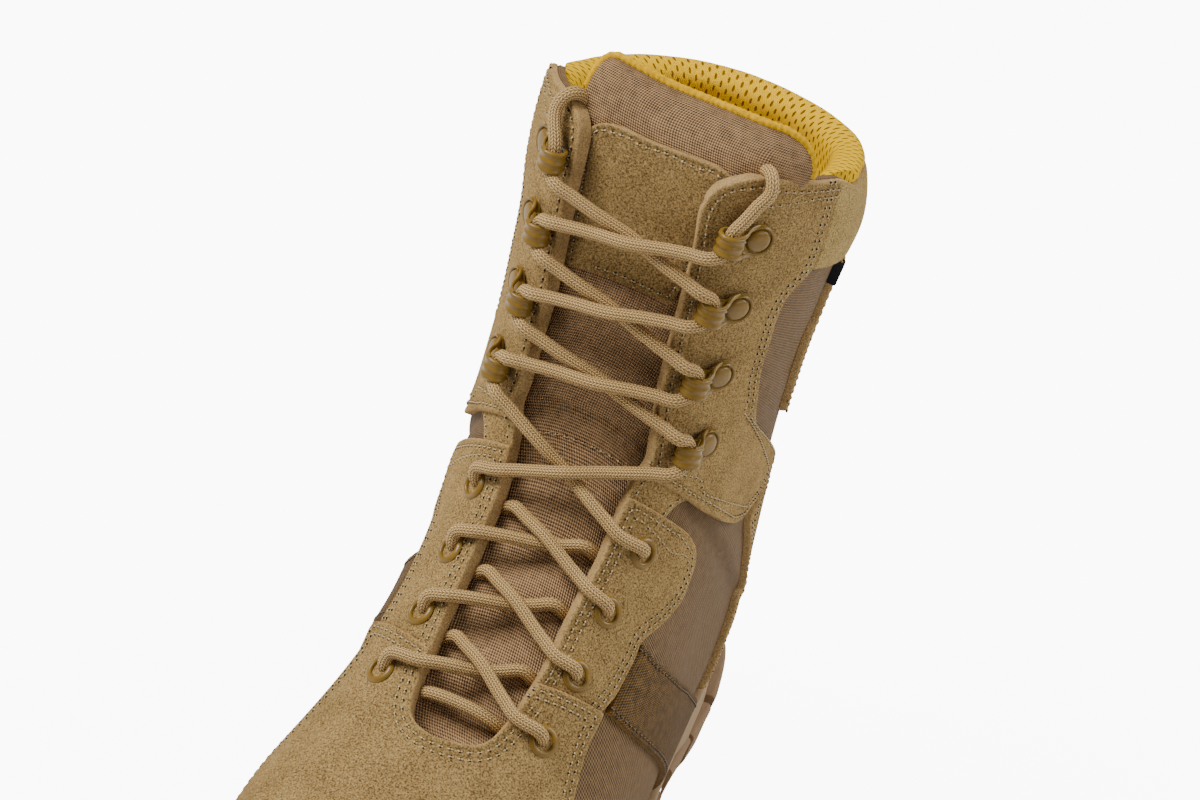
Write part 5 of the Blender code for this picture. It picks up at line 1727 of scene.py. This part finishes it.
def hookStrip(size):
    # Side view of the bent strip: from the rivet's end along the seat, up at the throat, back over the lace.
    mid = size["seat"] + size["plate"] / 2
    roof = size["roof"] + size["plate"] / 2
    nose = size["reach"] - size["plate"] / 2
    back = size["rivetX"] - size["disc"]
    keys = np.array([(back, mid), (-2.0, mid), (2.0, mid), (5.4, mid), (nose - 2.2, mid + 0.15),
                     (nose - 0.4, mid + 1.5), (nose, (mid + roof) / 2), (nose - 0.5, roof - 1.4),
                     (nose - 2.3, roof), (nose - 4.4, roof), (nose - 6.2, roof - 0.8)])
    line = catmull(keys, np.concatenate([np.linspace(0, 0.4, 12), np.linspace(0.45, len(keys) - 1, 60)]))
    along = unit(np.gradient(line, axis=0))
    outward = np.stack([along[:, 1], -along[:, 0]], -1)
    run = runAlong(line)
    left = run[-1] - run
    disc = 2 * np.sqrt(np.clip(size["disc"] ** 2 - (run - size["disc"]) ** 2, 0.2, None))
    neck = np.interp(run, (0, 7.5, 10.0, 40.0), (0.0, size["neck"] * 1.15, size["neck"], size["neck"]))
    width = np.where(run < size["disc"], disc, np.maximum(disc, neck))
    width *= np.interp(left, (0, 0.4, 1.2), (0.8, 0.93, 1.0))
    spread = np.linspace(-1, 1, 25)
    ribs = sum(np.exp(-((spread - c) / 0.2) ** 2) for c in (-0.8, 0.0, 0.8))
    rib = size["rib"] * np.interp(run, (0, 12.0, 14.5, 40.0), (0.0, 0.0, 1.0, 1.0))
    flange = np.interp(run, (0, 3.0, 6.5, 9.5, 12.5, 15.0), (0.3, 0.35, 0.7, 1.0, 0.6, 0.0)) * size["flange"]
    shift = rib[:, None] * ribs - flange[:, None] * np.abs(spread) ** 4
    thick = size["plate"] * np.interp(left, (0, 0.6, 1.5), (0.7, 0.95, 1.0))
    edge = 1 - 0.4 * np.clip((np.abs(spread) - 0.86) / 0.14, 0, 1) ** 2
    points = []
    for sign in (1, -1):
        lift = sign * thick[:, None] / 2 * edge + shift
        x = line[:, :1] + outward[:, :1] * lift
        z = line[:, 1:] + outward[:, 1:] * lift
        y = np.repeat(spread[None] / 2, len(line), 0) * width[:, None]
        points.append(np.stack([x, y, z], -1).reshape(-1, 3))
    count, columns = len(line), len(spread)
    total = count * columns
    faces = []
    for i in range(count - 1):
        for j in range(columns - 1):
            a, b = i * columns + j, (i + 1) * columns + j
            faces.append((a, a + 1, b + 1, b))
            faces.append((total + a, total + b, total + b + 1, total + a + 1))
        for j in (0, columns - 1):
            a, b = i * columns + j, (i + 1) * columns + j
            faces.append((a, b, total + b, total + a))
    for i in (0, count - 1):
        for j in range(columns - 1):
            a = i * columns + j
            faces.append((a, a + 1, total + a + 1, total + a))
    return np.vstack(points), faces


def rivetDome(size):
    base = size["seat"] + size["plate"]
    r = size["rivet"]
    profile = [(r * 0.98, base - 0.5), (r, base + 0.4), (r * 0.97, base + 0.8), (r * 0.88, base + 1.2),
               (r * 0.7, base + 1.5), (r * 0.4, base + 1.68), (0.05, base + 1.72), (0.05, base - 0.5)]
    return lathe(profile, turnedSides, size["rivetX"])


def hookRim(size):
    base = size["seat"] + size["plate"]
    r = size["disc"]
    profile = [(r - 0.95, base - 0.4), (r - 0.95, base + 0.55), (r - 0.7, base + 0.9), (r - 0.3, base + 0.95),
               (r, base + 0.6), (r + 0.05, base - 0.4)]
    return lathe(profile, turnedSides, size["rivetX"])


def hookBand(size, sign):
    roof = size["roof"] + size["plate"] / 2
    nose = size["reach"] - size["plate"] / 2
    base = size["seat"] + size["plate"]
    keys = [(nose - 2.4, sign * 3.0, roof + 0.1), (nose - 4.6, sign * 3.2, roof),
            (nose - 6.6, sign * 3.7, roof - 1.1), (nose - 8.4, sign * 4.3, base + 2.5),
            (2.2, sign * 4.6, base + 1.2), (0.4, sign * 4.7, base + 0.4)]
    line = smoothLine(keys, 0.5)
    along = unit(np.gradient(line, axis=0))
    side = unit(np.cross(along, (0.0, sign, 0.0)))
    other = np.cross(along, side)
    turn = np.linspace(0, 2 * math.pi, size["bandSides"], endpoint=False)[:, None]
    thin = size["bandThin"] * np.cos(turn)
    wide = size["bandWide"] * np.sin(turn)
    rings = [place + thin * a + wide * b for place, a, b in zip(line, side, other)]
    return np.vstack(rings), tubeFaces(len(rings), len(turn))


def spreadOut(name, shapes, frames, material):
    points = []
    faces = []
    for matrix in frames:
        for shapePoints, shapeFaces in shapes:
            start = len(points)
            points += [tuple((matrix @ Vector(p)) * mm) for p in shapePoints]
            faces += [[start + v for v in loop] for loop in shapeFaces]
    return facedOut(name, meshOf(name, points, faces, material), 48)


def makeHardware():
    seat = eyelet["seat"]
    bore, outside = eyelet["bore"], eyelet["outside"]
    profile = [(bore, -3.2), (bore, seat + 0.2), (bore + 0.1, seat + 0.6), (bore + 0.35, seat + 0.92),
               (bore + 0.8, seat + 1.05), (bore + 1.3, seat + 0.92), (outside - 0.25, seat + 0.55),
               (outside, seat + 0.1), (outside - 0.1, seat - 0.05), (bore + 0.5, seat - 0.05),
               (bore + 0.5, -3.2)]
    rings = [lathe(profile, turnedSides)]
    bent = [hookStrip(hook), rivetDome(hook), hookRim(hook), hookBand(hook, 1), hookBand(hook, -1)]
    places = [(number, label, side) for number in range(1, 5) for label, side in bothSides[::-1]]
    for name, node, shapes in (("eyelets", "eyelet", rings), ("laceHooks", "hook", bent)):
        frames = [frameOf(f"{node}s", number, side) for number, _, side in places]
        item = spreadOut(name, shapes, frames, brownPaint)
        dress(item, "painted_metal", *[f"{node}_{label}_{number}" for number, label, _ in places])


makeHardware()
print("hardware made")


# Stitches: short threads laid along the seam lines, with a flat dark disc between them: painted shade of a
# needle hole.
stitch = {"pitch": 2.8, "length": 1.9, "thick": 0.76, "hole": 1.28, "flat": 0.62, "holeLift": 0.02}


def stitchTree(size, yarn):
    tree = bpy.data.node_groups.new("stitchRows", "GeometryNodeTree")
    face = tree.interface
    face.new_socket("Geometry", in_out="INPUT", socket_type="NodeSocketGeometry")
    for label in ("Pitch", "Length", "Thick", "Hole"):
        face.new_socket(label, in_out="INPUT", socket_type="NodeSocketFloat")
    face.new_socket("Geometry", in_out="OUTPUT", socket_type="NodeSocketGeometry")
    source, sink = tree.nodes.new("NodeGroupInput"), tree.nodes.new("NodeGroupOutput")
    curve = addNode(tree, "GeometryNodeMeshToCurve", {"Mesh": source.outputs["Geometry"]})
    spaced = {"Curve": curve.outputs["Curve"], "Length": source.outputs["Pitch"]}
    resample = addNode(tree, "GeometryNodeResampleCurve", spaced, mode="LENGTH")
    up = addNode(tree, "GeometryNodeInputNamedAttribute", {"Name": "up"}, data_type="FLOAT_VECTOR")
    along = tree.nodes.new("GeometryNodeInputTangent").outputs["Tangent"]
    axes = {"Primary Axis": along, "Secondary Axis": up.outputs["Attribute"]}
    turn = addNode(tree, "FunctionNodeAxesToRotation", axes, primary_axis="X", secondary_axis="Z")
    join = tree.nodes.new("GeometryNodeJoinGeometry")
    long, thick, hole = (source.outputs[label] for label in ("Length", "Thick", "Hole"))
    flat = mathNode(tree, "MULTIPLY", hole, size["flat"])
    # The second bead is a flat dark disc: painted shade of a needle hole.
    between = (size["pitch"] * mm / 2, 0, size["holeLift"] * mm)
    beads = ((yarn, 5, (long, thick, thick), (0, 0, 0)), (needleHoleShade, 3, (hole, hole, flat), between))
    for finish, rings, lengths, shift in beads:
        bead = addNode(tree, "GeometryNodeMeshUVSphere", {"Segments": 6, "Rings": rings, "Radius": 0.5})
        scale = addNode(tree, "ShaderNodeCombineXYZ", dict(zip("XYZ", lengths)))
        spot = addNode(tree, "GeometryNodeInstanceOnPoints", {
            "Points": resample.outputs["Curve"],
            "Instance": bead.outputs["Mesh"],
            "Rotation": turn.outputs["Rotation"],
            "Scale": scale.outputs["Vector"],
        })
        shifted = {"Instances": spot.outputs["Instances"], "Translation": shift, "Local Space": True}
        moved = addNode(tree, "GeometryNodeTranslateInstances", shifted)
        real = addNode(tree, "GeometryNodeRealizeInstances", {"Geometry": moved.outputs["Instances"]})
        dyed = {"Geometry": real.outputs["Geometry"], "Material": finish}
        paint = addNode(tree, "GeometryNodeSetMaterial", dyed)
        tree.links.new(paint.outputs["Geometry"], join.inputs["Geometry"])
    tree.links.new(join.outputs["Geometry"], sink.inputs["Geometry"])
    return tree


def makeStitches(name, lines, slot, yarn, size):
    points = []
    ups = []
    edges = []
    for line, normal in lines:
        start = len(points)
        points += [tuple(p) for p in line]
        ups += [tuple(n) for n in normal]
        edges += [(start + n, start + n + 1) for n in range(len(line) - 1)]
    mesh = bpy.data.meshes.new("seamGuides")
    mesh.from_pydata(points, edges, [])
    mark = mesh.attributes.new("up", "FLOAT_VECTOR", "POINT")
    mark.data.foreach_set("vector", np.array(ups, np.float32).ravel())
    guide = putPiece("seamGuides", mesh)
    modifier = guide.modifiers.new("rows", "NODES")
    modifier.node_group = stitchTree(size, yarn)
    for item in modifier.node_group.interface.items_tree:
        if item.in_out == "INPUT" and item.name.lower() in size:
            modifier[item.identifier] = size[item.name.lower()] * mm
    deps = bpy.context.evaluated_depsgraph_get()
    baked = bpy.data.meshes.new_from_object(guide.evaluated_get(deps))
    bpy.data.objects.remove(guide)
    baked.name = name
    baked.shade_smooth()
    dress(putPiece(name, baked), slot)
    print(name, len(baked.polygons))


makeStitches("stitches", seams["light"], "suede", thread, stitch)
makeStitches("strapStitches", seams["dark"], "webbing", darkThread, stitch)
